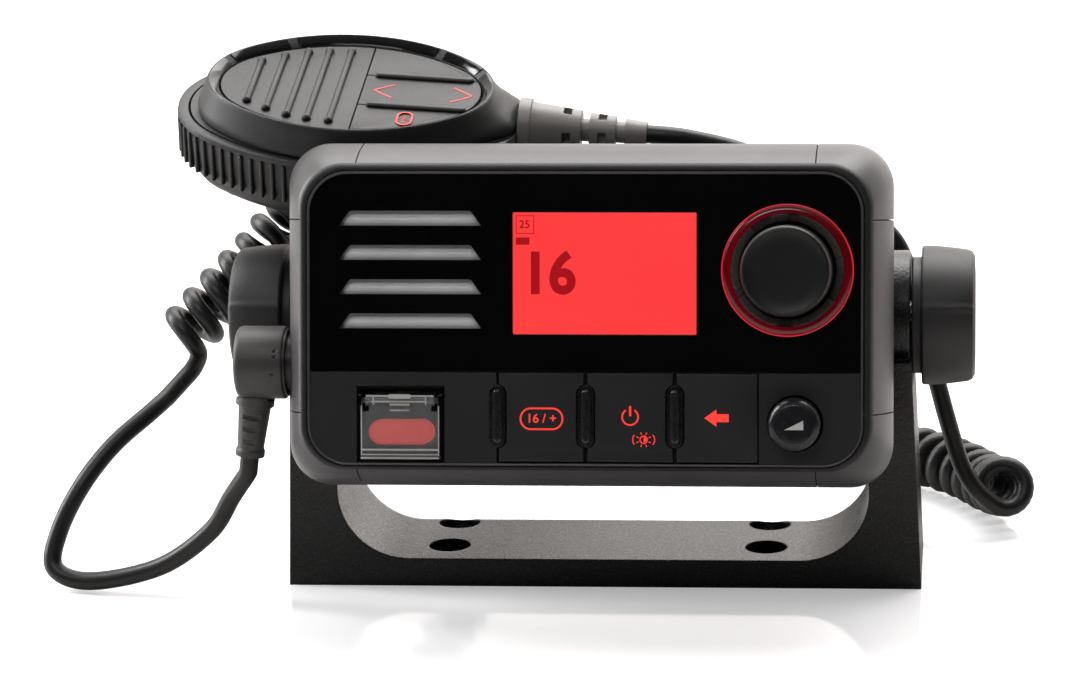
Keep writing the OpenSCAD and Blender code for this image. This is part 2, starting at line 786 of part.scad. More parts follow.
// ---- microphone connection on the casing's side ----
module mic_socket() color(metal) in_radio() {
    translate([0, plug_at.y, plug_at.z]) difference() {
        union() {
            x_rod(-case_w - 0.6, -case_w + 7, 7.9);
            x_rod(-case_w - 2.2, -case_w - 0.6 + eps, 9.4);
        }
        x_rod(-case_w - 3, -case_w + 5, 6.4);
    }
}

module plug_ring() color("#1b1b1c") in_radio() {
    translate([0, plug_at.y, plug_at.z]) difference() {
        x_rod(-case_w - 6.4, -case_w - 2.22, plug_ring_r);
        x_rod(-case_w - 7, -case_w, 6.9);
        for (a = [0:15:345]) rotate([a, 0, 0]) translate([-case_w - 4.3, plug_ring_r + 0.1, 0])
            cube([6, 0.7, 1], center = true);
    }
}

module plug_body() color("#1b1b1c") in_radio() {
    translate([0, plug_at.y, plug_at.z]) {
        x_rod(plug_end, -case_w - 6.42, plug_r);
        x_rod(-case_w - 6.5, -case_w + 4, 6.3);
    }
}

module plug_boot() color("#202022") in_radio() {
    translate(plug_at) rotate([tilt, 0, 0]) translate([-1.2, 0, 0]) rotate([0, boot_lean, 0]) {
        difference() {
            translate([0, 0, -boot_len - plug_r * 0.9]) rotate_extrude() {
                polygon([[0, 0], [4.1, 0], [4.1, 1.6], [3.7, 2.4], [4.6, boot_len - 3], [5.4, boot_len - 3],
                    [5.4, boot_len + 4], [0, boot_len + 4]]);
            }
            rotate([0, -boot_lean, 0]) translate([1.2, 0, 0]) rotate([-tilt, 0, 0])
                translate([-plug_at.x, 0, 0]) {
                    x_rod(plug_end - 11, -case_w, plug_r + 0.02);
                    x_rod(-case_w - 6.42, -case_w, plug_ring_r + slip);
                }
            for (i = [0:2], s = [-1, 1])
                translate([0, s * 4.6, -plug_r - 5 - i * 3.6]) cube([5, 2.4, 1.5], center = true);
        }
    }
}

// ---- clamp knobs ----
module clamp_knob() {
    foot = arm_boss_out + face_gap;
    drum = arm_boss_out + clamp_neck;
    translate([0, 0, pivot_z]) difference() {
        union() {
            rotate([0, 90, 0]) rotate_extrude($fn = 96) polygon([[0, foot], [clamp_neck_r, foot],
                [clamp_neck_r, drum], [clamp_r, drum], [clamp_r, drum + 4.3], [clamp_r - 0.7, drum + 9],
                [clamp_r - 1.2, clamp_out - 2.5], [clamp_r - 3.4, clamp_out - 0.6], [clamp_r - 9, clamp_out],
                [0, clamp_out]]);
            for (a = [70, 190, 310]) rotate([a, 0, 0]) translate([0, 0, clamp_r - 1])
                x_rod(drum + 0.5, clamp_out - 3, 1.3);
        }
        x_rod(arm_boss_out, clamp_out - 4, bolt_r + 0.02);
    }
}

module clamp_bolt() {
    translate([0, 0, pivot_z]) x_rod(insert_in + 2, clamp_out - 4.02, bolt_r);
}

module clamp_knob_left() color("#1d1d1e") mirror([1, 0, 0]) clamp_knob();
module clamp_knob_right() color("#1d1d1e") clamp_knob();
module clamp_bolt_left() color(metal) mirror([1, 0, 0]) clamp_bolt();
module clamp_bolt_right() color(metal) clamp_bolt();

// ---- microphone ----
module mic_layer(z0, z1) {
    translate([0, 0, z0]) linear_extrude(z1 - z0) children();
}

// oval body outline that narrows to the cord's collar on the right
module mic_outline(a, b, r, tip) {
    oval(a, b, r);
    polygon([[a * 0.5, b * 0.88], [mic_end, tip], [mic_end, -tip], [a * 0.5, -b * 0.88]]);
}

face_a = mic_a - 3.3;
face_b = mic_b - 3.9;
seam_x = 3.2;
mic_rib_y = [8, -10];

module mic_key_area(y0, y1, s) {
    intersection() {
        oval(face_a - 0.6 - s, face_b - 0.6 - s, mic_r - 4 - s);
        translate([seam_x + s, y0]) square([50, y1 - y0]);
    }
}

module mic_key_holes() {
    mic_key_area(mic_rib_y[0] + 1.7, 40, 0);
    mic_key_area(mic_rib_y[1] + 1.7, mic_rib_y[0] - 1.7, 0);
    mic_key_area(-40, mic_rib_y[1] - 1.7, 0);
}

module mic_front_shell() color(satin) in_mic() {
    difference() {
        union() {
            mic_layer(-3.41, 2.5) oval(mic_a, mic_b, mic_r);
            mic_layer(-7, -3.4) mic_outline(mic_a + 3, mic_b + 2.2, mic_r + 1, 8.2);
            mic_layer(-3.41, -1) polygon([[mic_a - 12, 20], [mic_end, 7.4], [mic_end, -7.4], [mic_a - 12, -20]]);
        }
        mic_layer(0, 3) oval(face_a, face_b, mic_r - 3);
        mic_layer(-8, -1.8) oval(face_a - 1, face_b - 1, mic_r - 3);
        mic_layer(-3, 1) mic_key_holes();
    }
    for (x = [-28.2:6.2:-3]) {
        half = x < -25 ? 13.5 : 13.5 + (x + 28.2) * 0.35;
        translate([x, 0, 0]) {
            rotate([90, 0, 0]) translate([0, 0, -half]) cylinder(h = 2 * half, r = 1.1, $fn = 24);
            for (s = [-1, 1]) translate([0, s * half, 0]) sphere(1.3, $fn = 24);
        }
    }
    for (y = mic_rib_y) translate([6, y, 0]) x_rod(0, 28, 1.5);
}

module mic_key(y0, y1) {
    mic_layer(-1.7, 0.15) mic_key_area(y0, y1, 0.4);
    translate([18, (max(y0, -20) + min(y1, 20)) / 2, -8.6]) cylinder(h = 7, r = 2);
}

module mic_key_top() color(satin) in_mic() mic_key(mic_rib_y[0] + 2.1, 40);

module mic_rocker() color(satin) in_mic() {
    mic_layer(-1.7, 0.15) mic_key_area(mic_rib_y[1] + 2.1, mic_rib_y[0] - 2.1, 0.4);
    translate([20, 0, -7.4]) cube([3, 10, 11.6], center = true);
    for (s = [-1, 1]) translate([21 + s * 11.5, -1, 0.1]) rotate(s > 0 ? 0 : 180)
        linear_extrude(0.3) polygon([[-1.5, 4], [3, 0], [-1.5, -4], [-1.5, -3], [1.7, 0], [-1.5, 3]]);
}

module mic_key_bottom() color(satin) {
    in_mic() mic_key(-40, mic_rib_y[1] - 2.1);
    in_mic() mic_layer(0.1, 0.45) translate([17.6, -17]) rotate(90) difference() {
        rrect(6.4, 4, 1.9);
        rrect(5.4, 3, 1.4);
    }
}

module mic_back_shell() color(satin) in_mic() {
    difference() {
        union() {
            mic_layer(mic_edge - mic_deep, -7.05) mic_outline(band_a - 4, band_b - 3.5, band_r - 3, 9);
            mic_layer(-mic_deep, mic_edge - mic_deep + eps)
                mic_outline(band_a - 6.4, band_b - 5.9, band_r - 5.4, 8);
            mic_layer(-mic_deep - mic_dome, -mic_deep + eps) oval(band_a - 12, band_b - 10, band_r - 9);
        }
        mic_layer(mic_edge - mic_deep + 0.2, -6) oval(band_a - 7, band_b - 6.5, band_r - 6);
        mic_layer(-18.2, -10) translate([13.5, band_b - 5]) square([34.4, 14], center = true);
        translate([mic_end - 12, 0, cord_z]) x_rod(0, 20, 4);
    }
    for (x = [-26, 26], y = [-10, 10]) translate([x, y, -mic_deep + 2]) cylinder(h = mic_deep - 2 - 15.42, r = 2);
}

// raised ribs round the band: along the long sides and round the left end
module band_ribs() {
    side_r = ((band_a - band_r) * (band_a - band_r) + band_b * band_b - band_r * band_r)
        / (2 * (band_b - band_r));
    for (s = [-1, 1], a = [-15:2.4:15]) translate([0, s * (band_b - side_r)])
        rotate(s * 90 + a) translate([side_r, 0]) square([1, 1.1], center = true);
    for (a = [110:8:250]) translate([band_r - band_a, 0])
        rotate(a) translate([band_r, 0]) square([1, 1.1], center = true);
}

module mic_grip_band() color(black) in_mic() {
    difference() {
        union() {
            mic_layer(-22.6, -7.2) mic_outline(band_a, band_b, band_r, 10);
            mic_layer(-21.6, -9) band_ribs();
        }
        mic_layer(-23, -7) mic_outline(band_a - 3.98, band_b - 3.48, band_r - 2.98, 9.02);
        mic_layer(-18.4, -9.8) translate([13.5, band_b]) square([35, 21], center = true);
        mic_layer(-24, -6) translate([mic_end + 9.98, 0]) square(20, center = true);
    }
}

module mic_ptt() color(satin) in_mic() {
    mic_layer(-17.9, -10.2) intersection() {
        oval(band_a + 0.6, band_b + 0.6, band_r);
        translate([13.5, band_b - 2.6]) square([34, 8], center = true);
    }
    translate([13.5, band_b - 8, -14]) cube([6, 4, 4], center = true);
}

module mic_speaker() color(metal) in_mic() {
    translate([-18, 0, -9.2]) cylinder(h = 7.2, r = 17);
}

module mic_board() color("#1f5a3a") in_mic() {
    mic_layer(-15.4, -13.9) difference() {
        oval(35, 19, 15);
        translate([-18, 0]) circle(6);
    }
}

module mic_hang_stud() color(metal) in_mic() {
    translate([0, 0, -mic_deep - mic_dome - 0.02]) rotate([180, 0, 0]) rotate_extrude()
        polygon([[0, 0], [5.5, 0], [5.5, stud_h - 3], [8, stud_h - 2], [8, stud_h], [0, stud_h]]);
}

module mic_screws() color(metal) in_mic() {
    for (x = [-32, 32], s = [-1, 1]) translate([x, s * 13, -mic_deep - 0.02]) rotate([180, 0, 0])
        difference() {
            cylinder(h = 1.6, r = 2.6);
            translate([0, 0, 0.8]) cylinder(h = 2, r = 1.2, $fn = 6);
        }
}

// strain relief: a collar, a cone and two short segments on a thin neck, with windows all round
module mic_boot() color("#1a1a1b") in_mic() {
    translate([0, 0, cord_z]) difference() {
        rotate([0, 90, 0]) rotate_extrude() polygon([[0, mic_end], [8.2, mic_end], [8.2, mic_end + 3.4],
            [7.3, mic_end + 3.6], [5.7, mic_end + 18], [3.3, mic_end + 18.1], [3.3, mic_end + 20.4],
            [5.2, mic_end + 20.5], [4.6, mic_end + 28], [3.1, mic_end + 28.1], [3.1, mic_end + 30.7],
            [4.2, mic_end + 30.8], [3.5, boot_end], [0, boot_end]]);
        for (x = [14, 24.2], a = [0:90:270]) rotate([a, 0, 0])
            translate([mic_end + x, 0, 6]) cube([2.4, 3.6, 5.2], center = true);
    }
}

// ---- cord ----
// route of the coil's middle line behind the radio, chosen by hand
COIL = [[-128.5, 24, 62.5], [-118, 29, 73.5], [-107, 34, 84.5], [-98, 43, 95], [-91, 57, 102], [-85, 74, 100],
    [-78, 91, 88], [-69, 105, 68], [-57, 113, 48], [-40, 118, 30], [-18, 119, 17], [6, 117, 11.2],
    [32, 112, 10], [58, 103, 10], [82, 88, 10], [101, 69, 10.1], [112, 50, 10.4], [116, 32, 15]];
// route of the straight run from the microphone to the top of the chassis
MIC_RUN = [[24, 17.4, 124], [38, 20, 120], [54, 25, 112]];
// where the run from the microphone ends and the run to the floor begins, and its direction there
REST = [72, 28.5, 101];
REST_DIR = unit([16, 2.5, -10.5]);
// route of the straight run down the right side of the bracket
FLOOR_RUN = [[84.5, 31, 88], [90.5, 32, 68], [94.8, 31.5, 50]];
// where that run meets the coil, and its direction there
FOOT = [99.2, 30.5, 33.5];
FOOT_DIR = unit([4.5, -0.5, -16]);
// route of the loop from the plug to the left end of the coil
PLUG_RUN = [[-103.5, -38, 32], [-111, -35, 20.5], [-127, -31, 8.6], [-148, -28, 3.2], [-159, -25, 6.2],
    [-158, -21, 16], [-152, -16, 28], [-144, -8, 38], [-134.5, 1, 45.5]];
PEAK = [-128, 11, 51];
PEAK_DIR = unit([6, 9, 6]);
RINGS = 8;

// point at u from 0 to 1 between the middle two of four points
function spline(p, q, r, s, u) = 0.5 * (2 * q + (r - p) * u + (2 * p - 5 * q + 4 * r - s) * u * u
    + (3 * q - p - 3 * r + s) * u * u * u);
function pick(p, i) = i < 0 ? 2 * p[0] - p[1] : i >= len(p) ? 2 * p[len(p) - 1] - p[len(p) - 2] : p[i];
function along(p, t) = let (i = min(floor(t), len(p) - 2))
    spline(pick(p, i - 1), p[i], p[i + 1], pick(p, i + 2), t - i);
function smooth(p, n) = [for (i = [0:(len(p) - 1) * n]) along(p, i / n)];
function bezier(a, da, b, db, n) = let (k = norm(b - a) / 2.6)
    [for (i = [1:n - 1]) let (u = i / n, w = 1 - u)
        a * w * w * w + (a + da * k) * 3 * w * w * u + (b - db * k) * 3 * w * u * u + b * u * u * u];

// running length of the coil's route, as a table from length to place on the route
coil_n = 16;
coil_pts = smooth(COIL, coil_n);
coil_s = [for (i = 0, s = 0; i < len(coil_pts); s = s + (i + 1 < len(coil_pts)
    ? norm(coil_pts[i + 1] - coil_pts[i]) : 0), i = i + 1) s];
coil_len = coil_s[len(coil_s) - 1];
coil_table = [for (i = [0:len(coil_s) - 1]) [coil_s[i], i / coil_n]];
curls = floor(coil_len / curl_pitch) - 1;
start_turn = -40;
end_turn = 355;
function coil_mid(s) = along(COIL, lookup(s, coil_table));
function coil_dir(s) = unit(coil_mid(min(s + 0.5, coil_len)) - coil_mid(max(s - 0.5, 0)));
// turn counted from the left end; the helix turns the same way all along
function helix(f) = let (s = f * coil_len, d = coil_dir(s), side = unit(cross(d, [0, 0, 1])),
    a = start_turn + f * (curls * 360 + end_turn))
    coil_mid(s) + curl_r * (cos(a) * side + sin(a) * cross(side, d));
helix_n = curls * RINGS + round(RINGS * end_turn / 360);
HELIX = [for (i = [0:helix_n]) helix(i / helix_n)];
left_dir = unit(HELIX[1] - HELIX[0]);
right_dir = unit(HELIX[helix_n] - HELIX[helix_n - 1]);
lead_n = 7;
COIL_PATH = concat([PEAK, PEAK + PEAK_DIR * cord_d], bezier(PEAK + PEAK_DIR * cord_d, PEAK_DIR, HELIX[0],
    left_dir, lead_n), HELIX, bezier(HELIX[helix_n], right_dir, FOOT + FOOT_DIR * cord_d, -FOOT_DIR, lead_n),
    [FOOT + FOOT_DIR * cord_d, FOOT]);

// least distance between the surfaces of neighbouring curls
curl_gap = min([for (i = [0:helix_n - RINGS - 3]) min([for (k = [RINGS - 3:RINGS + 3])
    norm(HELIX[i + k] - HELIX[i])])]) - cord_d;
echo("curls", curls, "route", coil_len, "least gap between curls", curl_gap);

function path_len(p) = len(p) < 2 ? 0 : [for (i = 0, s = 0; i < len(p); s = s + (i + 1 < len(p)
    ? norm(p[i + 1] - p[i]) : 0), i = i + 1) s][len(p) - 1];

// a straight stub of one cord diameter, the hand-chosen route, and a straight stub again
function run(a, da, mid, b, db, n) = concat([a], smooth(concat([a + da * cord_d], mid, [b - db * cord_d]), n),
    [b]);
MIC_END = mic_pt([boot_end, 0, cord_z]);
MIC_DIR = unit(mic_pt([boot_end + 1, 0, cord_z]) - MIC_END);
PLUG_END = boot_pt(boot_len + plug_r * 0.9);
MIC_PATH = run(MIC_END, MIC_DIR, MIC_RUN, REST, REST_DIR, 3);
FLOOR_PATH = run(REST, REST_DIR, FLOOR_RUN, FOOT, FOOT_DIR, 4);
PLUG_PATH = run(PLUG_END, boot_dir(), PLUG_RUN, PEAK, PEAK_DIR, 4);
echo("lengths: coil", path_len(COIL_PATH), "mic run", path_len(MIC_PATH), "floor run",
    path_len(FLOOR_PATH), "plug run", path_len(PLUG_PATH));

// round tube along a list of points, with the ring carried along without twist
module tube(p, d, sides) {
    last = len(p) - 1;
    dirs = [for (i = [0:last]) unit(p[min(i + 1, last)] - p[max(i - 1, 0)])];
    first = unit(cross(dirs[0], abs(dirs[0].z) < 0.9 ? [0, 0, 1] : [0, 1, 0]));
    normals = [for (i = 0, n = first; i <= last; n = i < last
        ? unit(n - dirs[i + 1] * (n * dirs[i + 1])) : n, i = i + 1) n];
    points = [for (i = [0:last], j = [0:sides - 1]) let (a = 360 * j / sides)
        p[i] + d / 2 * (cos(a) * normals[i] + sin(a) * cross(dirs[i], normals[i]))];
    walls = [for (i = [0:last - 1], j = [0:sides - 1], t = [0, 1]) let (k = (j + 1) % sides, r = i * sides)
        t == 0 ? [r + k, r + j, r + sides + j] : [r + k, r + sides + j, r + sides + k]];
    polyhedron(points, concat([[for (j = [0:sides - 1]) j]], walls,
        [[for (j = [sides - 1:-1:0]) last * sides + j]]), convexity = 10);
}

module cord_coil() color(black) tube(COIL_PATH, cord_d, 6);
module cord_tail_mic() color(black) tube(MIC_PATH, cord_d, 8);
module cord_tail_floor() color(black) tube(FLOOR_PATH, cord_d, 8);
module cord_tail_plug() color(black) tube(PLUG_PATH, cord_d, 8);

bracket();
friction_pads();
cord_coil();
bezel();
corner_caps();
front_panel();
panel_rim();
key_strip();
lcd_lens();
lcd_module();
lcd_backlight();
speaker_grille();
speaker_basket();
speaker_cone();
speaker_magnet();
knob_ring();
encoder_main();
encoder_vol();
main_board();
power_module();
case_gasket();
rear_chassis();
case_screws();
antenna_socket();
power_inlet();
mic_socket();
thread_inserts();
distress_frame();
cover_pin();
cord_tail_floor();
plug_body();
plug_ring();
plug_boot();
cord_tail_plug();
key_16();
key_power();
key_back();
distress_cover();
distress_button();
main_shaft();
main_knob();
vol_shaft();
vol_knob();
clamp_knob_left();
clamp_knob_right();
clamp_bolt_left();
clamp_bolt_right();
mic_front_shell();
mic_back_shell();
mic_grip_band();
mic_speaker();
mic_board();
mic_hang_stud();
mic_screws();
mic_boot();
mic_key_top();
mic_rocker();
mic_key_bottom();
mic_ptt();
cord_tail_mic();
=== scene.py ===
"""Looks for a fixed-mount marine radio with its fist microphone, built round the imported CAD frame.

Metres, in the frame of the CAD part: X to the right, Y away from the user, Z up. Sizes in the classes are
in millimetres and are turned to metres when a mesh is placed.
"""

from __future__ import annotations

import json
import logging
import math
from bisect import bisect_right
from dataclasses import dataclass, field
from enum import Enum
from typing import Sequence, Union

import bmesh
import bpy
from mathutils import Matrix, Vector

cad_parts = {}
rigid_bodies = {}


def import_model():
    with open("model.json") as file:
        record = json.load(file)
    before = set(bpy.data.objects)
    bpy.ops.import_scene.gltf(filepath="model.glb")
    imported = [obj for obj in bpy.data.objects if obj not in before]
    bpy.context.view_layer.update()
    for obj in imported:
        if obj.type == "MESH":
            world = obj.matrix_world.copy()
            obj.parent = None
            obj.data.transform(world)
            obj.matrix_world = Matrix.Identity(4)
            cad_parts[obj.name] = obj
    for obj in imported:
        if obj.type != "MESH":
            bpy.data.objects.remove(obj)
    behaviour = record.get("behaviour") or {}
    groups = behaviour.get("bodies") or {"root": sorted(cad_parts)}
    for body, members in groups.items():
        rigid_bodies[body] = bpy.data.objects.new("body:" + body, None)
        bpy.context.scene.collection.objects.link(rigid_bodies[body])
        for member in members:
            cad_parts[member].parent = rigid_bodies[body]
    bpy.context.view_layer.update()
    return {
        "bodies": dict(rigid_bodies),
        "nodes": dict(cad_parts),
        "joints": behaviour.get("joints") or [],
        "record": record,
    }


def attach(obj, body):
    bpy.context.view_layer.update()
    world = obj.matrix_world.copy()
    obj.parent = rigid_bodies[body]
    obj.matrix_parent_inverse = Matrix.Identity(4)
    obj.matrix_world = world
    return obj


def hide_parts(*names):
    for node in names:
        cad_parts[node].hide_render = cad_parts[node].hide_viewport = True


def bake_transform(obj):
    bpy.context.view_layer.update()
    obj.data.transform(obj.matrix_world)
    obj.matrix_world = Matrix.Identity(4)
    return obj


LOG = logging.getLogger("marine_radio")
Point = tuple[float, float, float]
Flat = tuple[float, float]
Key = Union[str, int]
# half width, half height, corner radius, height over the panel and middle of one section of the casing
Section = tuple[float, float, float, float, float]

# the radio's tilt, the height of the pivot, the panel's distance from it, and the microphone's seat
TILT = math.radians(12.5)
PIVOT_Z = 76.0
FACE_D = 60.0
MIC_AT = (-73.6, -0.1, 65.3)
MIC_ROLL = math.radians(3.8)
MIC_LEAN = math.radians(17.0)


class Frame(Enum):
    """Local frames that the pieces are drawn in."""

    ROW = "row"
    RADIO = "radio"
    FACE = "face"
    MIC = "mic"

    def matrix(self) -> Matrix:
        """The frame's place in the row frame, in metres."""
        radio = Matrix.Translation((0, 0, PIVOT_Z / 1000)) @ Matrix.Rotation(-TILT, 4, "X")
        if self is Frame.ROW:
            return Matrix.Identity(4)
        if self is Frame.RADIO:
            return radio
        if self is Frame.FACE:
            return radio @ Matrix.Translation((0, -FACE_D / 1000, 0)) @ Matrix.Rotation(math.pi / 2, 4, "X")
        seat = Matrix.Translation(tuple(c / 1000 for c in MIC_AT)) @ Matrix.Rotation(TILT, 4, "X")
        return radio @ seat @ Matrix.Rotation(MIC_ROLL, 4, "Y") @ Matrix.Rotation(MIC_LEAN, 4, "X")


# ---- finishes ----


def linear(code: str) -> tuple[float, float, float, float]:
    """Turns an sRGB hex colour to linear light.

    Args:
        code: the colour, such as "#5a595b".

    Returns:
        Red, green, blue and an alpha of 1.
    """
    parts = [int(code[i : i + 2], 16) / 255 for i in (1, 3, 5)]
    r, g, b = (c / 12.92 if c <= 0.04045 else ((c + 0.055) / 1.055) ** 2.4 for c in parts)
    return (r, g, b, 1.0)


def add(
    tree: bpy.types.NodeTree,
    kind: str,
    attrs: dict[str, object] | None = None,
    values: dict[Key, object] | None = None,
    links: dict[Key, bpy.types.NodeSocket] | None = None,
) -> bpy.types.Node:
    """Adds a node with its settings and links.

    Args:
        tree: the node tree.
        kind: the node's type name.
        attrs: the node's own settings.
        values: input socket to value.
        links: input socket to the output that feeds it.

    Returns:
        The new node.
    """
    node = tree.nodes.new(kind)
    for name, value in (attrs or {}).items():
        setattr(node, name, value)
    for socket, value in (values or {}).items():
        node.inputs[socket].default_value = value
    for socket, source in (links or {}).items():
        tree.links.new(source, node.inputs[socket])
    return node


@dataclass(frozen=True)
class Surface:
    """What every finish shares.

    Attributes:
        name: the finish in a maker's words.
        colour: sRGB hex of its surface.
    """

    name: str
    colour: str = "#b9bcbe"

    def shader(self, tree: bpy.types.NodeTree) -> bpy.types.NodeSocket:
        """Builds the nodes in an empty tree and gives the output that the surface takes."""
        raise NotImplementedError

    def material(self) -> bpy.types.Material:
        """Makes the material once, and gives the same one again later.

        Returns:
            The material.
        """
        mat = bpy.data.materials.get(self.name)
        if mat is None:
            mat = bpy.data.materials.new(self.name)
            mat.use_nodes = True
            mat.diffuse_color = linear(self.colour)
            mat.node_tree.nodes.clear()
            shown = self.shader(mat.node_tree)
            add(mat.node_tree, "ShaderNodeOutputMaterial", links={"Surface": shown})
        return mat


@dataclass(frozen=True)
class Finish(Surface):
    """A surface: what it is made of, how it was made, and what that gives the eye.

    Attributes:
        roughness: mean roughness.
        metallic: 1 for bare metal.
        grain_mm: size of the surface grain.
        grain: depth of the grain, from 0 to 1.
        mottle: how far the colour drifts over a few centimetres, from 0 to 1.
        rough_drift: how far the roughness drifts.
        edge_mm: radius that edges are rounded to in the shading.
        wear: how much lighter edges are, from 0 to 1.
        coat: clear coat weight.
        brushed: stretches the grain along X by this factor.
        speckle: share of light specks in the grain.
    """

    roughness: float = 0.5
    metallic: float = 0.0
    grain_mm: float = 0.4
    grain: float = 0.15
    mottle: float = 0.12
    rough_drift: float = 0.08
    edge_mm: float = 0.25
    wear: float = 0.10
    coat: float = 0.0
    brushed: float = 1.0
    speckle: float = 0.0

    def shader(self, tree: bpy.types.NodeTree) -> bpy.types.NodeSocket:
        """Mottled colour with rubbed edges, grain in the roughness and the relief, under a thin coat.

        Args:
            tree: the material's empty tree.

        Returns:
            The shader's output.
        """
        place = add(tree, "ShaderNodeTexCoord")
        at = place.outputs["Object"]
        if self.brushed != 1.0:
            at = add(tree, "ShaderNodeMapping", values={"Scale": (1 / self.brushed, 1, 1)},
                     links={"Vector": at}).outputs[0]
        broad = add(tree, "ShaderNodeTexNoise", values={"Scale": 60.0, "Detail": 3.0},
                    links={"Vector": place.outputs["Object"]})
        fine = add(tree, "ShaderNodeTexNoise", values={"Scale": 1000.0 / self.grain_mm, "Detail": 4.0,
                   "Roughness": 0.6}, links={"Vector": at})
        base = linear(self.colour)
        dark = tuple(c * (1 - self.mottle) for c in base[:3]) + (1.0,)
        light = tuple(min(1.0, c * (1 + self.mottle)) for c in base[:3]) + (1.0,)
        ramp = add(tree, "ShaderNodeMapRange", values={1: 0.3, 2: 0.7}, links={0: broad.outputs["Fac"]})
        tint = add(tree, "ShaderNodeMix", {"data_type": "RGBA"}, {6: dark, 7: light}, {0: ramp.outputs[0]})
        colour = tint.outputs[2]
        if self.speckle > 0:
            spots = add(tree, "ShaderNodeMapRange", values={1: 0.55, 2: 0.75, 4: self.speckle},
                        links={0: fine.outputs["Fac"]})
            colour = add(tree, "ShaderNodeMix", {"data_type": "RGBA"}, {7: (0.6, 0.58, 0.56, 1)},
                         {0: spots.outputs[0], 6: colour}).outputs[2]
        bevel = add(tree, "ShaderNodeBevel", {"samples": 4}, {"Radius": self.edge_mm / 1000})
        if self.wear > 0:
            flat = add(tree, "ShaderNodeNewGeometry")
            agree = add(tree, "ShaderNodeVectorMath", {"operation": "DOT_PRODUCT"}, None,
                        {0: bevel.outputs[0], 1: flat.outputs["Normal"]})
            worn = add(tree, "ShaderNodeMapRange", values={1: 0.995, 2: 0.8, 3: 0.0, 4: self.wear},
                       links={0: agree.outputs["Value"]})
            colour = add(tree, "ShaderNodeMix", {"data_type": "RGBA"}, {7: (0.45, 0.44, 0.43, 1)},
                         {0: worn.outputs[0], 6: colour}).outputs[2]
        rough = add(tree, "ShaderNodeMapRange", values={1: 0.3, 2: 0.7, 3: max(0.02, self.roughness -
                    self.rough_drift), 4: min(1.0, self.roughness + self.rough_drift)},
                    links={0: fine.outputs["Fac"]})
        bump = add(tree, "ShaderNodeBump", values={"Strength": self.grain, "Distance": 0.0002},
                   links={"Height": fine.outputs["Fac"], "Normal": bevel.outputs[0]})
        shader = add(tree, "ShaderNodeBsdfPrincipled", values={"Metallic": self.metallic, "IOR": 1.5,
                     "Coat Weight": self.coat, "Coat Roughness": 0.06},
                     links={"Base Color": colour, "Roughness": rough.outputs[0], "Normal": bump.outputs[0]})
        return shader.outputs[0]


@dataclass(frozen=True)
class Glow(Surface):
    """A piece that glows: a translucent one lit from behind, or one given a painted glow though no lamp is in
    it; its own colour is the one it has unlit.

    Attributes:
        light: the colour of the light in it, sRGB hex.
        strength: how bright it is, where 1 shows the colour as written.
        roughness: of its surface.
        drift: how unevenly it is lit, from 0 to 1.
        spread_mm: size of the uneven patches.
        coat: clear coat weight.
    """

    light: str = "#ff0000"
    strength: float = 1.0
    roughness: float = 0.3
    drift: float = 0.12
    spread_mm: float = 14.0
    coat: float = 0.3

    def shader(self, tree: bpy.types.NodeTree) -> bpy.types.NodeSocket:
        """Light of uneven strength under a smooth skin.

        Args:
            tree: the material's empty tree.

        Returns:
            The shader's output.
        """
        place = add(tree, "ShaderNodeTexCoord")
        patch = add(tree, "ShaderNodeTexNoise", values={"Scale": 1000.0 / self.spread_mm, "Detail": 2.0},
                    links={"Vector": place.outputs["Object"]})
        level = add(tree, "ShaderNodeMapRange", values={1: 0.3, 2: 0.7, 3: self.strength * (1 - self.drift),
                    4: self.strength * (1 + self.drift)}, links={0: patch.outputs["Fac"]})
        fine = add(tree, "ShaderNodeTexNoise", values={"Scale": 2500.0, "Detail": 3.0},
                   links={"Vector": place.outputs["Object"]})
        bump = add(tree, "ShaderNodeBump", values={"Strength": 0.04, "Distance": 0.0001},
                   links={"Height": fine.outputs["Fac"]})
        shader = add(tree, "ShaderNodeBsdfPrincipled",
                     values={"Base Color": linear(self.colour), "Roughness": self.roughness,
                             "Emission Color": linear(self.light), "Coat Weight": self.coat,
                             "Coat Roughness": 0.05},
                     links={"Emission Strength": level.outputs[0], "Normal": bump.outputs[0]})
        return shader.outputs[0]


@dataclass(frozen=True)
class ClearPlastic(Surface):
    """Thin clear moulded plastic with fine flow marks.

    Attributes:
        roughness: of its surface.
        haze: the share of its surface that isn't seen through.
    """

    roughness: float = 0.08
    haze: float = 0.2

    def shader(self, tree: bpy.types.NodeTree) -> bpy.types.NodeSocket:
        """A hazy skin that is mostly seen through.

        Args:
            tree: the material's empty tree.

        Returns:
            The shader's output.
        """
        place = add(tree, "ShaderNodeTexCoord")
        flow = add(tree, "ShaderNodeTexNoise", values={"Scale": 220.0, "Detail": 2.0},
                   links={"Vector": place.outputs["Object"]})
        rough = add(tree, "ShaderNodeMapRange", values={1: 0.3, 2: 0.7, 3: self.roughness,
                    4: self.roughness + 0.12}, links={0: flow.outputs["Fac"]})
        bevel = add(tree, "ShaderNodeBevel", {"samples": 4}, {"Radius": 0.0002})
        bump = add(tree, "ShaderNodeBump", values={"Strength": 0.03, "Distance": 0.0002},
                   links={"Height": flow.outputs["Fac"], "Normal": bevel.outputs[0]})
        skin = add(tree, "ShaderNodeBsdfPrincipled",
                   values={"Base Color": linear(self.colour), "IOR": 1.49},
                   links={"Roughness": rough.outputs[0], "Normal": bump.outputs[0]})
        through = add(tree, "ShaderNodeBsdfTransparent", values={"Color": (0.93, 0.94, 0.95, 1)})
        both = add(tree, "ShaderNodeMixShader", values={0: self.haze}, links={1: through.outputs[0],
                   2: skin.outputs[0]})
        return both.outputs[0]


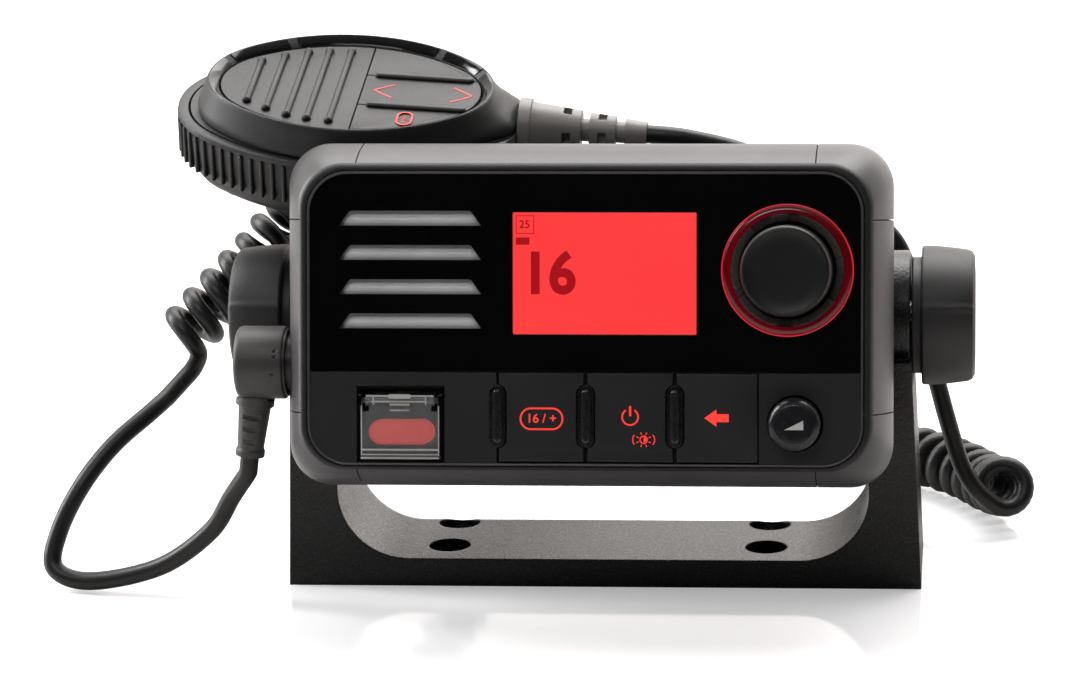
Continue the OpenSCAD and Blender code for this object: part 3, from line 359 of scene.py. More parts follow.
# ABS with a fine spark-eroded grain, painted satin grey: soft broad highlights, edges rubbed a bit lighter
PAINT = {"grain_mm": 0.35, "grain": 0.35, "wear": 0.12, "edge_mm": 0.3}
CASE_GREY = Finish("satin grey painted abs", "#434142", 0.36, **PAINT)
CAP_GREY = Finish("satin grey corner caps", "#403e40", 0.34, **PAINT)
LIP_BLACK = Finish("textured black lip", "#100f10", 0.55, grain_mm=0.5, grain=0.5, wear=0.03, speckle=0.04,
                   edge_mm=0.3)
# hard-coated polycarbonate, back-painted black: a clean deep gloss
PANEL_BLACK = Finish("gloss black hard coat", "#060607", 0.08, grain_mm=3.0, grain=0.01, mottle=0.2,
                     rough_drift=0.03, wear=0.02, edge_mm=0.2, coat=0.4)
RIM_GREY = Finish("satin grey trim", "#4a494c", 0.35, grain_mm=0.4, grain=0.2, edge_mm=0.15)
# silicone keypad with a polyurethane top coat: even satin black
STRIP_RUBBER = Finish("coated silicone", "#1b1b1d", 0.5, grain_mm=0.3, grain=0.18, wear=0.05, edge_mm=0.35)
# glass-filled nylon with a leather-like moulded texture; it takes a brownish sheen at low angles
BRACKET_NYLON = Finish("textured glass-filled nylon", "#0b0909", 0.29, grain_mm=0.9, grain=0.8, mottle=0.15,
                       wear=0.04, edge_mm=0.9, speckle=0.02)
PAD_RUBBER = Finish("friction pad rubber", "#141414", 0.8, grain_mm=0.5, grain=0.5)
# the pockets are recesses in the keypad rubber; this plate, darker than the rubber, is painted shade for them
POCKET_SHADE = Finish("rib pocket painted shade", "#070708", 0.3, grain_mm=0.5, grain=0.08, wear=0.0, edge_mm=0.3)
RIB_RUBBER = Finish("polished keypad rib", "#1d1d1f", 0.3, grain_mm=0.4, grain=0.1, wear=0.05, edge_mm=0.4,
                    coat=0.3)
KNOB_BLACK = Finish("soft-touch knob", "#040506", 0.45, grain_mm=0.25, grain=0.12, wear=0.05, edge_mm=0.3)
# a black gloss knob drawn dark grey: the lift is a painted reflection on its top
KNOB_SHEEN = Finish("gloss moulded knob with painted sheen", "#222226", 0.22, grain_mm=2.0, grain=0.02, wear=0.02, edge_mm=0.3)
# a black gloss collar drawn grey: the grey is a painted reflection, broken into arcs by the lowered cuts
COLLAR_SHEEN = Finish("inner collar with painted gloss reflection", "#4c4845", 0.3, grain_mm=1.0, grain=0.05, wear=0.05)
CLAMP_BLACK = Finish("moulded nylon hand knob", "#2c2b2b", 0.5, grain_mm=0.4, grain=0.3, wear=0.08,
                     edge_mm=0.5)
# polyurethane sleeve and over-moulded plug, both with the same soft satin
CORD_SKIN = Finish("polyurethane cord sleeve", "#131212", 0.42, grain_mm=0.5, grain=0.12, mottle=0.15)
BOOT_GREY = Finish("moulded strain relief", "#8a8683", 0.42, grain_mm=0.3, grain=0.2, wear=0.08, edge_mm=0.4)
PLUG_SKIN = Finish("over-moulded plug", "#3f3d3c", 0.46, grain_mm=0.3, grain=0.25, edge_mm=0.5)
MIC_FACE = Finish("matt microphone shell", "#1f1f1f", 0.5, grain_mm=0.4, grain=0.25, wear=0.05, edge_mm=0.3)
MIC_GLOSS = Finish("gloss microphone crest", "#0c0c0d", 0.12, grain_mm=2.5, grain=0.02, wear=0.0,
                   edge_mm=0.4)
MIC_BAND = Finish("ribbed grip rubber", "#151415", 0.45, grain_mm=0.3, grain=0.15, wear=0.05, edge_mm=0.4)
GRILLE_SILVER = Finish("textured silver grille", "#e3e4e8", 0.34, grain_mm=0.45, grain=1.0, mottle=0.1,
                       edge_mm=0.2, coat=0.4)
# die-cast aluminium under black powder coat: a fine orange peel
CHASSIS_COAT = Finish("powder-coated casting", "#1d1d1f", 0.5, grain_mm=0.7, grain=0.5, wear=0.15,
                      edge_mm=0.5)
STEEL = Finish("stainless fasteners", "#b9bbbd", 0.28, metallic=1.0, grain_mm=0.3, grain=0.08, brushed=6.0)
NICKEL = Finish("nickel-plated brass", "#c9c6bf", 0.18, metallic=1.0, grain_mm=0.6, grain=0.05)
BRASS = Finish("turned brass", "#b8923f", 0.3, metallic=1.0, grain_mm=0.3, grain=0.1, brushed=4.0)
SHIELD = Finish("stamped tinned shield", "#a9acae", 0.35, metallic=1.0, grain_mm=0.8, grain=0.1)
BOARD = Finish("green solder mask", "#1c5135", 0.35, grain_mm=0.5, grain=0.15, mottle=0.25)
DARK_PLASTIC = Finish("dark moulded frame", "#1a1a1c", 0.45, grain_mm=0.4, grain=0.2)
CONE = Finish("treated paper cone", "#1b1b1c", 0.75, grain_mm=0.6, grain=0.6)
GUIDE = Finish("diffusing light guide", "#e6e3dc", 0.4, grain_mm=0.6, grain=0.1)
GASKET = Finish("casing gasket", "#0f0f10", 0.7, grain_mm=0.4, grain=0.3)
WHITE_INK = Finish("white ink", "#dcdcdc", 0.5, grain_mm=0.3, grain=0.05, wear=0.0)
MIC_RED = Finish("red ink", "#d8362c", 0.5, grain_mm=0.3, grain=0.05, wear=0.0, edge_mm=0.05)
LCD_RED = Glow("red-lit display", "#400404", "#ff3e3e", 1.0, roughness=0.25, drift=0.02,
               spread_mm=30.0, coat=0.2)
LCD_DARK = Glow("dark display segments", "#2c0003", "#a30a16", 1.0, roughness=0.3, drift=0.02, coat=0.0)
RING_RED = Glow("red-lit selector ring", "#120103", "#7d0012", 0.36, roughness=0.2, drift=0.35,
                spread_mm=22.0, coat=0.25)
EDGE_RED = Glow("bright ring edge", "#5a080c", "#e0303a", 0.8, roughness=0.2, drift=0.15)
MARK_RED = Glow("red-lit key marks", "#5a0a08", "#ff4238", 1.0, roughness=0.4, drift=0.04, coat=0.0)
# the rubber button has no lamp in it; its glow is painted light, so that it shows bright in its recess
PILL_PAINTED_GLOW = Glow("red button rubber with painted glow", "#b0241f", "#dc4038", 0.74, roughness=0.45, drift=0.06, coat=0.0)
COVER_CLEAR = ClearPlastic("clear flip cover")
# paler, hazier plastic laid on the cover's edges, lug and grip lines as painted highlights
COVER_HIGHLIGHT = ClearPlastic("painted highlights on the flip cover edges", "#e9e7e4", 0.2, 0.62)


# ---- meshes ----


@dataclass
class Shell:
    """A mesh being drawn, in millimetres of one local frame."""

    verts: list[Point] = field(default_factory=list)
    faces: list[tuple[int, ...]] = field(default_factory=list)

    def ring(self, points: Sequence[Point]) -> list[int]:
        """Adds points and gives their numbers.

        Args:
            points: the ring's points.

        Returns:
            The points' numbers.
        """
        start = len(self.verts)
        self.verts.extend(tuple(p) for p in points)
        return list(range(start, start + len(points)))

    def bridge(self, a: Sequence[int], b: Sequence[int], closed: bool = True) -> None:
        """Joins two rings of the same length with quads.

        Args:
            a: numbers of the first ring.
            b: numbers of the second ring.
            closed: whether the rings close on themselves.
        """
        count = len(a)
        for i in range(count if closed else count - 1):
            j = (i + 1) % count
            self.faces.append((a[i], a[j], b[j], b[i]))

    def loft(self, rings: Sequence[Sequence[Point]], closed: bool = True, caps: bool = True,
             loop: bool = False) -> "Shell":
        """Joins rings in order.

        Args:
            rings: the rings, each with the same number of points.
            closed: whether each ring closes on itself.
            caps: whether the first and last ring get a face.
            loop: whether the last ring joins the first.

        Returns:
            This shell.
        """
        ids = [self.ring(r) for r in rings]
        for a, b in zip(ids, ids[1:] + (ids[:1] if loop else [])):
            self.bridge(a, b, closed)
        if caps and not loop:
            self.faces.append(tuple(reversed(ids[0])))
            self.faces.append(tuple(ids[-1]))
        return self

    def grow(self, other: "Shell") -> "Shell":
        """Adds another shell's faces to this one.

        Args:
            other: the shell to add.

        Returns:
            This shell.
        """
        start = len(self.verts)
        self.verts.extend(other.verts)
        self.faces.extend(tuple(i + start for i in f) for f in other.faces)
        return self

    def moved(self, matrix: Matrix) -> "Shell":
        """A copy that is moved by a matrix in millimetres."""
        return Shell([tuple(matrix @ Vector(v)) for v in self.verts], list(self.faces))

    def piece(self, name: str, frame: Frame, finish: Surface, angle: float = 35.0,
              merge: bool = True) -> bpy.types.Object:
        """Places the shell in the row frame as an object.

        Args:
            name: the piece's name.
            frame: the frame it was drawn in.
            finish: its finish.
            angle: edges sharper than this many degrees stay sharp.
            merge: whether points that meet are joined.

        Returns:
            The object, at the origin.
        """
        place = frame.matrix()
        mesh = bpy.data.meshes.new(name)
        mesh.from_pydata([tuple(place @ (Vector(v) / 1000)) for v in self.verts], [], self.faces)
        work = bmesh.new()
        work.from_mesh(mesh)
        if merge:
            bmesh.ops.remove_doubles(work, verts=work.verts, dist=2e-6)
        bmesh.ops.recalc_face_normals(work, faces=work.faces)
        work.to_mesh(mesh)
        work.free()
        mesh.shade_smooth()
        mesh.set_sharp_from_angle(angle=math.radians(angle))
        mesh.materials.append(finish.material())
        made = bpy.data.objects.new(name, mesh)
        bpy.context.collection.objects.link(made)
        return made


def arc(cx: float, cy: float, r: float, a0: float, a1: float, n: int) -> list[Flat]:
    """Points on an arc, both ends among them, with angles in degrees.

    Args:
        cx: middle, first coordinate.
        cy: middle, second coordinate.
        r: radius.
        a0: first angle.
        a1: last angle.
        n: number of steps.

    Returns:
        The points.
    """
    angles = [math.radians(a0 + (a1 - a0) * i / n) for i in range(n + 1)]
    return [(cx + r * math.cos(a), cy + r * math.sin(a)) for a in angles]


def round_box(w: float, h: float, r: float, n: int = 8, cx: float = 0.0, cy: float = 0.0) -> list[Flat]:
    """Outline of a rounded rectangle, anticlockwise.

    Args:
        w: width.
        h: height.
        r: corner radius.
        n: steps for each corner.
        cx: middle, first coordinate.
        cy: middle, second coordinate.

    Returns:
        The outline.
    """
    x, y = w / 2 - r, h / 2 - r
    corners = ((x, y, 0), (-x, y, 90), (-x, -y, 180), (x, -y, 270))
    return [p for sx, sy, a in corners for p in arc(cx + sx, cy + sy, r, a, a + 90, n)]


def oval(a: float, b: float, r: float, n: int = 22) -> list[Flat]:
    """Outline of a four-arc oval, anticlockwise from the right end's lower tangent point.

    Args:
        a: half length.
        b: half width.
        r: radius of the end arcs.
        n: steps for each arc.

    Returns:
        The outline.
    """
    side = ((a - r) ** 2 + b * b - r * r) / (2 * (b - r))
    lean = math.degrees(math.atan((a - r) / (side - b)))
    end = arc(a - r, 0, r, lean - 90, 90 - lean, n)
    top = arc(0, b - side, side, 90 - lean, 90 + lean, n)[1:-1]
    return end + top + [(-x, -y) for x, y in end] + [(-x, -y) for x, y in top]


def steps(a: Point, b: Point, n: int) -> list[Point]:
    """Evenly spaced points from a to b, both among them."""
    return [tuple(p + (q - p) * i / n for p, q in zip(a, b)) for i in range(n + 1)]


def inset(outline: Sequence[Flat], d: float) -> list[Flat]:
    """Moves a convex anticlockwise outline inwards by d.

    Args:
        outline: the points, in order.
        d: how far inwards.

    Returns:
        The moved outline.
    """
    out = []
    count = len(outline)
    for i, (x, y) in enumerate(outline):
        (x0, y0), (x1, y1) = outline[i - 1], outline[(i + 1) % count]
        tx, ty = x1 - x0, y1 - y0
        size = math.hypot(tx, ty) or 1.0
        out.append((x - ty / size * d, y + tx / size * d))
    return out


def slab(outline: Sequence[Flat], z0: float, z1: float, edge: float, crown: float = 0.0) -> Shell:
    """A plate with its upper edge rounded and its lower edge broken.

    Args:
        outline: convex outline, anticlockwise.
        z0: height of the underside.
        z1: height of the top.
        edge: radius of the upper edge.
        crown: how much the middle stands above the edge.

    Returns:
        The plate.
    """
    levels = [(edge * 0.3, z0), (0.0, z0 + edge * 0.3)]
    for k in range(5):
        a = math.radians(90 * k / 4)
        levels.append((edge * (1 - math.cos(a)), z1 - edge + edge * math.sin(a)))
    rings = [[(x, y, z) for x, y in inset(outline, d)] for d, z in levels]
    if crown > 0:
        mx = sum(x for x, _ in outline) / len(outline)
        my = sum(y for _, y in outline) / len(outline)
        top = inset(outline, edge)
        for k in range(1, 6):
            s = 1 - k / 6
            rings.append([(mx + (x - mx) * s, my + (y - my) * s, z1 + crown * (1 - s * s)) for x, y in top])
    return Shell().loft(rings)


def lathe(profile: Sequence[Flat], n: int = 96) -> Shell:
    """Turns a profile of radius and height about Z; one that starts and ends on the axis is closed there.

    Args:
        profile: pairs of radius and height.
        n: points round the axis.

    Returns:
        The turned shell.
    """
    turns = [(math.cos(math.tau * i / n), math.sin(math.tau * i / n)) for i in range(n)]
    rings = [[(max(r, 1e-4) * c, max(r, 1e-4) * s, z) for c, s in turns] for r, z in profile]
    on_axis = profile[0][0] <= 1e-3
    return Shell().loft(rings, caps=on_axis, loop=not on_axis)


# ---- cord routes, in millimetres; the same rules as the CAD source ----


def spline(p: Vector, q: Vector, r: Vector, s: Vector, u: float) -> Vector:
    """Point between q and r on a smooth curve."""
    return 0.5 * (2 * q + (r - p) * u + (2 * p - 5 * q + 4 * r - s) * u * u + (3 * q - p - 3 * r + s) * u**3)


def along(p: Sequence[Vector], t: float) -> Vector:
    """Point at t, counted in points, on the smooth curve through p.

    Args:
        p: the curve's points.
        t: the place, counted in points.

    Returns:
        The point.
    """
    last = len(p) - 1
    i = min(int(math.floor(t)), last - 1)
    before = p[i - 1] if i > 0 else 2 * p[0] - p[1]
    after = p[i + 2] if i + 2 <= last else 2 * p[last] - p[last - 1]
    return spline(before, p[i], p[i + 1], after, t - i)


def smooth(p: Sequence[Vector], n: int) -> list[Vector]:
    """The smooth curve through p, with n steps for each stretch."""
    return [along(p, i / n) for i in range((len(p) - 1) * n + 1)]


def bezier(a: Vector, da: Vector, b: Vector, db: Vector, n: int) -> list[Vector]:
    """Inner points of a curve that leaves a along da and meets b along db.

    Args:
        a: start.
        da: direction there.
        b: end.
        db: direction there.
        n: number of steps.

    Returns:
        The points between a and b.
    """
    k = (b - a).length / 2.6
    out = []
    for i in range(1, n):
        u = i / n
        w = 1 - u
        out.append(a * w**3 + (a + da * k) * 3 * w * w * u + (b - db * k) * 3 * w * u * u + b * u**3)
    return out


def radio_point(p: Point) -> Vector:
    """A point of the radio's frame in the row frame, in millimetres."""
    return Frame.RADIO.matrix() @ (Vector(p) / 1000) * 1000


def mic_point(p: Point) -> Vector:
    """A point of the microphone's frame in the row frame, in millimetres."""
    return Frame.MIC.matrix() @ (Vector(p) / 1000) * 1000


@dataclass
class CordRoute:
    """The cord's route from the microphone to its plug."""

    d: float = 5.3
    curl_r: float = 6.5
    curls: int = 50
    boot_end: float = 86.0
    boot_z: float = -9.0
    plug_at: Point = (-92, -40.4, -12.5)
    plug_r: float = 10.2
    plug_boot: float = 18.0
    plug_lean: float = math.radians(8)
    start_turn: float = -40.0
    end_turn: float = 355.0
    coil: tuple[Point, ...] = (
        (-128.5, 24, 62.5), (-118, 29, 73.5), (-107, 34, 84.5), (-98, 43, 95), (-91, 57, 102), (-85, 74, 100),
        (-78, 91, 88), (-69, 105, 68), (-57, 113, 48), (-40, 118, 30), (-18, 119, 17), (6, 117, 11.2),
        (32, 112, 10), (58, 103, 10), (82, 88, 10), (101, 69, 10.1), (112, 50, 10.4), (116, 32, 15))
    mic_run: tuple[Point, ...] = ((24, 17.4, 124), (38, 20, 120), (54, 25, 112))
    rest: Point = (72, 28.5, 101)
    rest_dir: Point = (16, 2.5, -10.5)
    floor_run: tuple[Point, ...] = ((84.5, 31, 88), (90.5, 32, 68), (94.8, 31.5, 50))
    foot: Point = (99.2, 30.5, 33.5)
    foot_dir: Point = (4.5, -0.5, -16)
    plug_run: tuple[Point, ...] = (
        (-103.5, -38, 32), (-111, -35, 20.5), (-127, -31, 8.6), (-148, -28, 3.2), (-159, -25, 6.2),
        (-158, -21, 16), (-152, -16, 28), (-144, -8, 38), (-134.5, 1, 45.5))
    peak: Point = (-128, 11, 51)
    peak_dir: Point = (6, 9, 6)
    rings: int = 22

    def run(self, a: Vector, da: Vector, mid: Sequence[Point], b: Vector, db: Vector, n: int) -> list[Vector]:
        """A straight stub of one cord diameter, the route, and a straight stub again.

        Args:
            a: start.
            da: direction there.
            mid: the points between.
            b: end.
            db: direction there.
            n: steps for each stretch.

        Returns:
            The whole path.
        """
        route = [a + da * self.d] + [Vector(p) for p in mid] + [b - db * self.d]
        return [a] + smooth(route, n) + [b]

    def mic_path(self) -> list[Vector]:
        """From the microphone's boot to the top of the chassis.

        Returns:
            The path.
        """
        end = mic_point((self.boot_end, 0, self.boot_z))
        way = (mic_point((self.boot_end + 1, 0, self.boot_z)) - end).normalized()
        return self.run(end, way, self.mic_run, Vector(self.rest), Vector(self.rest_dir).normalized(), 10)

    def floor_path(self) -> list[Vector]:
        """From the top of the chassis down the right side to the coil."""
        return self.run(Vector(self.rest), Vector(self.rest_dir).normalized(), self.floor_run,
                        Vector(self.foot), Vector(self.foot_dir).normalized(), 10)

    def plug_path(self) -> list[Vector]:
        """From the plug's boot round the loop to the coil's left end.

        Returns:
            The path.
        """
        way = Vector((-math.sin(self.plug_lean), 0, -math.cos(self.plug_lean)))
        start = radio_point(self.plug_at) + Vector((-1.2, 0, 0)) + way * (self.plug_boot + self.plug_r * 0.9)
        return self.run(start, way, self.plug_run, Vector(self.peak), Vector(self.peak_dir).normalized(), 12)

    def coil_path(self) -> list[Vector]:
        """The curly part, with its straight ends.

        Returns:
            The path.
        """
        mid = [Vector(p) for p in self.coil]
        table = smooth(mid, 60)
        lengths = [0.0]
        for a, b in zip(table, table[1:]):
            lengths.append(lengths[-1] + (b - a).length)
        total = lengths[-1]

        def at(s: float) -> Vector:
            """Point at distance s along the middle line."""
            s = min(max(s, 0.0), total)
            i = min(bisect_right(lengths, s), len(table) - 1)
            return table[i - 1].lerp(table[i], (s - lengths[i - 1]) / max(lengths[i] - lengths[i - 1], 1e-9))

        count = int(self.curls * self.rings + self.rings * self.end_turn / 360)
        helix = []
        for i in range(count + 1):
            f = i / count
            s = f * total
            way = (at(s + 1.0) - at(s - 1.0)).normalized()
            side = way.cross(Vector((0, 0, 1))).normalized()
            a = math.radians(self.start_turn + f * (self.curls * 360 + self.end_turn))
            helix.append(at(s) + self.curl_r * (math.cos(a) * side + math.sin(a) * side.cross(way)))
        peak, peak_dir = Vector(self.peak), Vector(self.peak_dir).normalized()
        foot, foot_dir = Vector(self.foot), Vector(self.foot_dir).normalized()
        first = (helix[1] - helix[0]).normalized()
        last = (helix[-1] - helix[-2]).normalized()
        top, low = peak + peak_dir * self.d, foot + foot_dir * self.d
        return ([peak, top] + bezier(top, peak_dir, helix[0], first, 12) + helix
                + bezier(helix[-1], last, low, -foot_dir, 12) + [low, foot])


def tube(path: Sequence[Vector], radius: float, sides: int = 14) -> Shell:
    """A round tube along a path, with flat ends, in millimetres.

    Args:
        path: the middle line.
        radius: the tube's radius.
        sides: points round it.

    Returns:
        The tube.
    """
    last = len(path) - 1
    ways = [(path[min(i + 1, last)] - path[max(i - 1, 0)]).normalized() for i in range(last + 1)]
    normal = ways[0].cross(Vector((0, 0, 1)) if abs(ways[0].z) < 0.9 else Vector((0, 1, 0))).normalized()
    rings = []
    for point, way in zip(path, ways):
        normal = (normal - way * normal.dot(way)).normalized()
        other = way.cross(normal)
        rings.append([tuple(point + radius * (math.cos(math.tau * j / sides) * normal
                      + math.sin(math.tau * j / sides) * other)) for j in range(sides)])
    return Shell().loft(rings)


def path_length(path: Sequence[Vector]) -> float:
    """Length of a path."""
    return sum((b - a).length for a, b in zip(path, path[1:]))


# ---- studio ----


@dataclass
class Studio:
    """Camera, floor and lights."""

    lens: float = 125.46
    eye: Point = (0.10475, -1.05495, 0.34452)
    yaw: float = math.radians(3.42)
    pitch: float = math.radians(14.85)
    roll: float = math.radians(-0.67)
    shift_x: float = -0.19
    shift_y: float = 0.0053

    def camera(self) -> None:
        """Makes the camera at the photograph's viewing angle."""
        data = bpy.data.cameras.new("view camera")
        data.sensor_width = 36.0
        data.lens = self.lens
        data.shift_x, data.shift_y = self.shift_x, self.shift_y
        cam = bpy.data.objects.new("view camera", data)
        bpy.context.collection.objects.link(cam)
        flat = math.cos(self.pitch)
        ahead = Vector((-math.sin(self.yaw) * flat, math.cos(self.yaw) * flat, -math.sin(self.pitch)))
        right = Vector((math.cos(self.yaw), math.sin(self.yaw), 0))
        up = right.cross(ahead)
        r2 = right * math.cos(self.roll) + up * math.sin(self.roll)
        u2 = up * math.cos(self.roll) - right * math.sin(self.roll)
        turn = Matrix((r2, u2, -ahead)).transposed().to_4x4()
        cam.matrix_world = Matrix.Translation(self.eye) @ turn
        bpy.context.scene.camera = cam

    @staticmethod
    def floor() -> None:
        """A pale, slightly glossy floor that shows white to the camera and keeps the object's shadow."""
        mesh = bpy.data.meshes.new("floor")
        mesh.from_pydata([(-6, -6, 0), (6, -6, 0), (6, 6, 0), (-6, 6, 0)], [], [(0, 1, 2, 3)])
        mat = bpy.data.materials.new("gloss white board")
        mat.use_nodes = True
        tree = mat.node_tree
        tree.nodes.clear()
        place = add(tree, "ShaderNodeTexCoord")
        haze = add(tree, "ShaderNodeTexNoise", values={"Scale": 3.0},
                   links={"Vector": place.outputs["Object"]})
        rough = add(tree, "ShaderNodeMapRange", values={3: 0.06, 4: 0.09}, links={0: haze.outputs["Fac"]})
        rays = add(tree, "ShaderNodeLightPath")
        shade = add(tree, "ShaderNodeMix", {"data_type": "RGBA"},
                    {6: (0.55, 0.54, 0.53, 1), 7: (0.86, 0.86, 0.87, 1)}, {0: rays.outputs["Is Camera Ray"]})
        body = add(tree, "ShaderNodeBsdfPrincipled", values={"IOR": 1.36},
                   links={"Base Color": shade.outputs[2], "Roughness": rough.outputs[0]})
        seen = add(tree, "ShaderNodeMath", {"operation": "MAXIMUM"}, None,
                   {0: rays.outputs["Is Camera Ray"], 1: rays.outputs["Is Transmission Ray"]})
        lift = add(tree, "ShaderNodeMath", {"operation": "MULTIPLY"}, {1: 0.34}, {0: seen.outputs[0]})
        glow = add(tree, "ShaderNodeEmission", values={"Color": (1, 1, 1, 1)},
                   links={"Strength": lift.outputs[0]})
        both = add(tree, "ShaderNodeAddShader", None, None, {0: body.outputs[0], 1: glow.outputs[0]})
        add(tree, "ShaderNodeOutputMaterial", links={"Surface": both.outputs[0]})
        mesh.materials.append(mat)
        obj = bpy.data.objects.new("floor", mesh)
        bpy.context.collection.objects.link(obj)

    @staticmethod
    def world() -> None:
        """White to the camera; a studio that is bright above and behind, and dim in front, to the object."""
        world = bpy.data.worlds.new("studio")
        bpy.context.scene.world = world
        world.use_nodes = True
        tree = world.node_tree
        tree.nodes.clear()
        place = add(tree, "ShaderNodeTexCoord")
        axes = add(tree, "ShaderNodeSeparateXYZ", links={0: place.outputs["Generated"]})
        # how bright the room is along each axis: from, to, value there and value here
        back, high, away, left, right = (
            add(tree, "ShaderNodeMapRange", {"interpolation_type": "SMOOTHSTEP"}, dict(enumerate(span, 1)),
                {0: axes.outputs[axis]}).outputs[0]
            for axis, span in (("Y", (-0.1, 0.6, 0.02, 2.7)), ("Z", (0.3, 0.95, 0.0, 0.4)),
                               ("Y", (-0.8, 0.0, 0.1, 1.0)), ("X", (-0.4, 0.3, 0.4, 1.0)),
                               ("X", (0.35, 0.9, 1.0, 0.35))))
        level = high
        for operation, other in (("MULTIPLY", away), ("MAXIMUM", back), ("MULTIPLY", left),
                                 ("MULTIPLY", right)):
            level = add(tree, "ShaderNodeMath", {"operation": operation}, None,
                        {0: level, 1: other}).outputs[0]
        rays = add(tree, "ShaderNodeLightPath")
        seen = add(tree, "ShaderNodeMath", {"operation": "MAXIMUM"}, None,
                   {0: rays.outputs["Is Camera Ray"], 1: rays.outputs["Is Transmission Ray"]})
        room = add(tree, "ShaderNodeBackground", values={"Color": (1, 0.94, 0.905, 1)},
                   links={"Strength": level})
        white = add(tree, "ShaderNodeBackground", values={"Color": (1, 1, 1, 1), "Strength": 1.0})
        both = add(tree, "ShaderNodeMixShader", None, None,
                   {0: seen.outputs[0], 1: room.outputs[0], 2: white.outputs[0]})
        add(tree, "ShaderNodeOutputWorld", links={"Surface": both.outputs[0]})

    @staticmethod
    def lamp(name: str, at: Point, size: Flat, power: float, aim: Point = (0, 0, 0.07)) -> None:
        """Adds a soft rectangular lamp.

        Args:
            name: the lamp's name.
            at: its place in metres.
            size: its width and height in metres.
            power: watts.
            aim: the point it faces.
        """
        data = bpy.data.lights.new(name, "AREA")
        data.shape = "RECTANGLE"
        data.size, data.size_y = size
        data.energy = power
        obj = bpy.data.objects.new(name, data)
        bpy.context.collection.objects.link(obj)
        obj.location = at
        obj.rotation_euler = (Vector(aim) - Vector(at)).to_track_quat("-Z", "Y").to_euler()

    def build(self) -> None:
        """Makes everything but the object."""
        self.camera()
        self.floor()
        self.world()
        self.lamp("top softbox", (0.0, 0.45, 1.0), (1.4, 0.7), 15.0)
        self.lamp("left strip", (-0.95, 0.1, 0.5), (0.25, 0.9), 12.0)
        self.lamp("right strip", (0.95, 0.3, 0.45), (0.25, 0.9), 0.3)
        self.lamp("front fill", (-0.3, -1.3, 1.35), (1.0, 0.4), 6.0)
        bpy.context.scene.view_settings.view_transform = "Standard"


def report(piece: bpy.types.Object, body: str, slot: str, *nodes: str) -> bpy.types.Object:
    """Hangs a finished piece on its body, hides the CAD nodes it stands for, and logs it.

    Args:
        piece: the piece.
        body: the body it rides on.
        slot: the record's material slot; not used.
        nodes: the CAD nodes it stands for.

    Returns:
        The piece.
    """
    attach(piece, body)
    if nodes:
        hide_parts(*nodes)
    LOG.info("%s: %d faces on %s", piece.name, len(piece.data.polygons), body)
    return piece


# ---- cords ----


@dataclass
class Cords:
    """The microphone's cord in its four stretches."""

    route: CordRoute = field(default_factory=CordRoute)

    def stretch(self, name: str, path: list[Vector], ends: Sequence[str], node: str, sides: int) -> None:
        """Args:
            name: the piece's name.
            path: its centreline in millimetres.
            ends: the body it rides on, or the two bodies it joins.
            node: the CAD node it stands for.
            sides: how many sides the tube has.
        """
        piece = tube(path, self.route.d / 2, sides).piece(name, Frame.ROW, CORD_SKIN, 60, merge=False)
        if len(ends) == 1:
            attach(piece, ends[0])
        else:
            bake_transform(piece)
        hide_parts(node)
        LOG.info("%s: %.1f mm of cord on %s", name, path_length(path), " to ".join(ends))

    def build(self) -> None:
        """Makes the four stretches."""
        r = self.route
        self.stretch("cord_from_mic", r.mic_path(), ("mic", "radio"), "cord_tail_mic", 18)
        self.stretch("cord_down_side", r.floor_path(), ("radio", "bracket"), "cord_tail_floor", 18)
        self.stretch("cord_coil_run", r.coil_path(), ("bracket",), "cord_coil", 14)
        self.stretch("cord_loop", r.plug_path(), ("radio", "bracket"), "cord_tail_plug", 18)


# ---- front casing ----


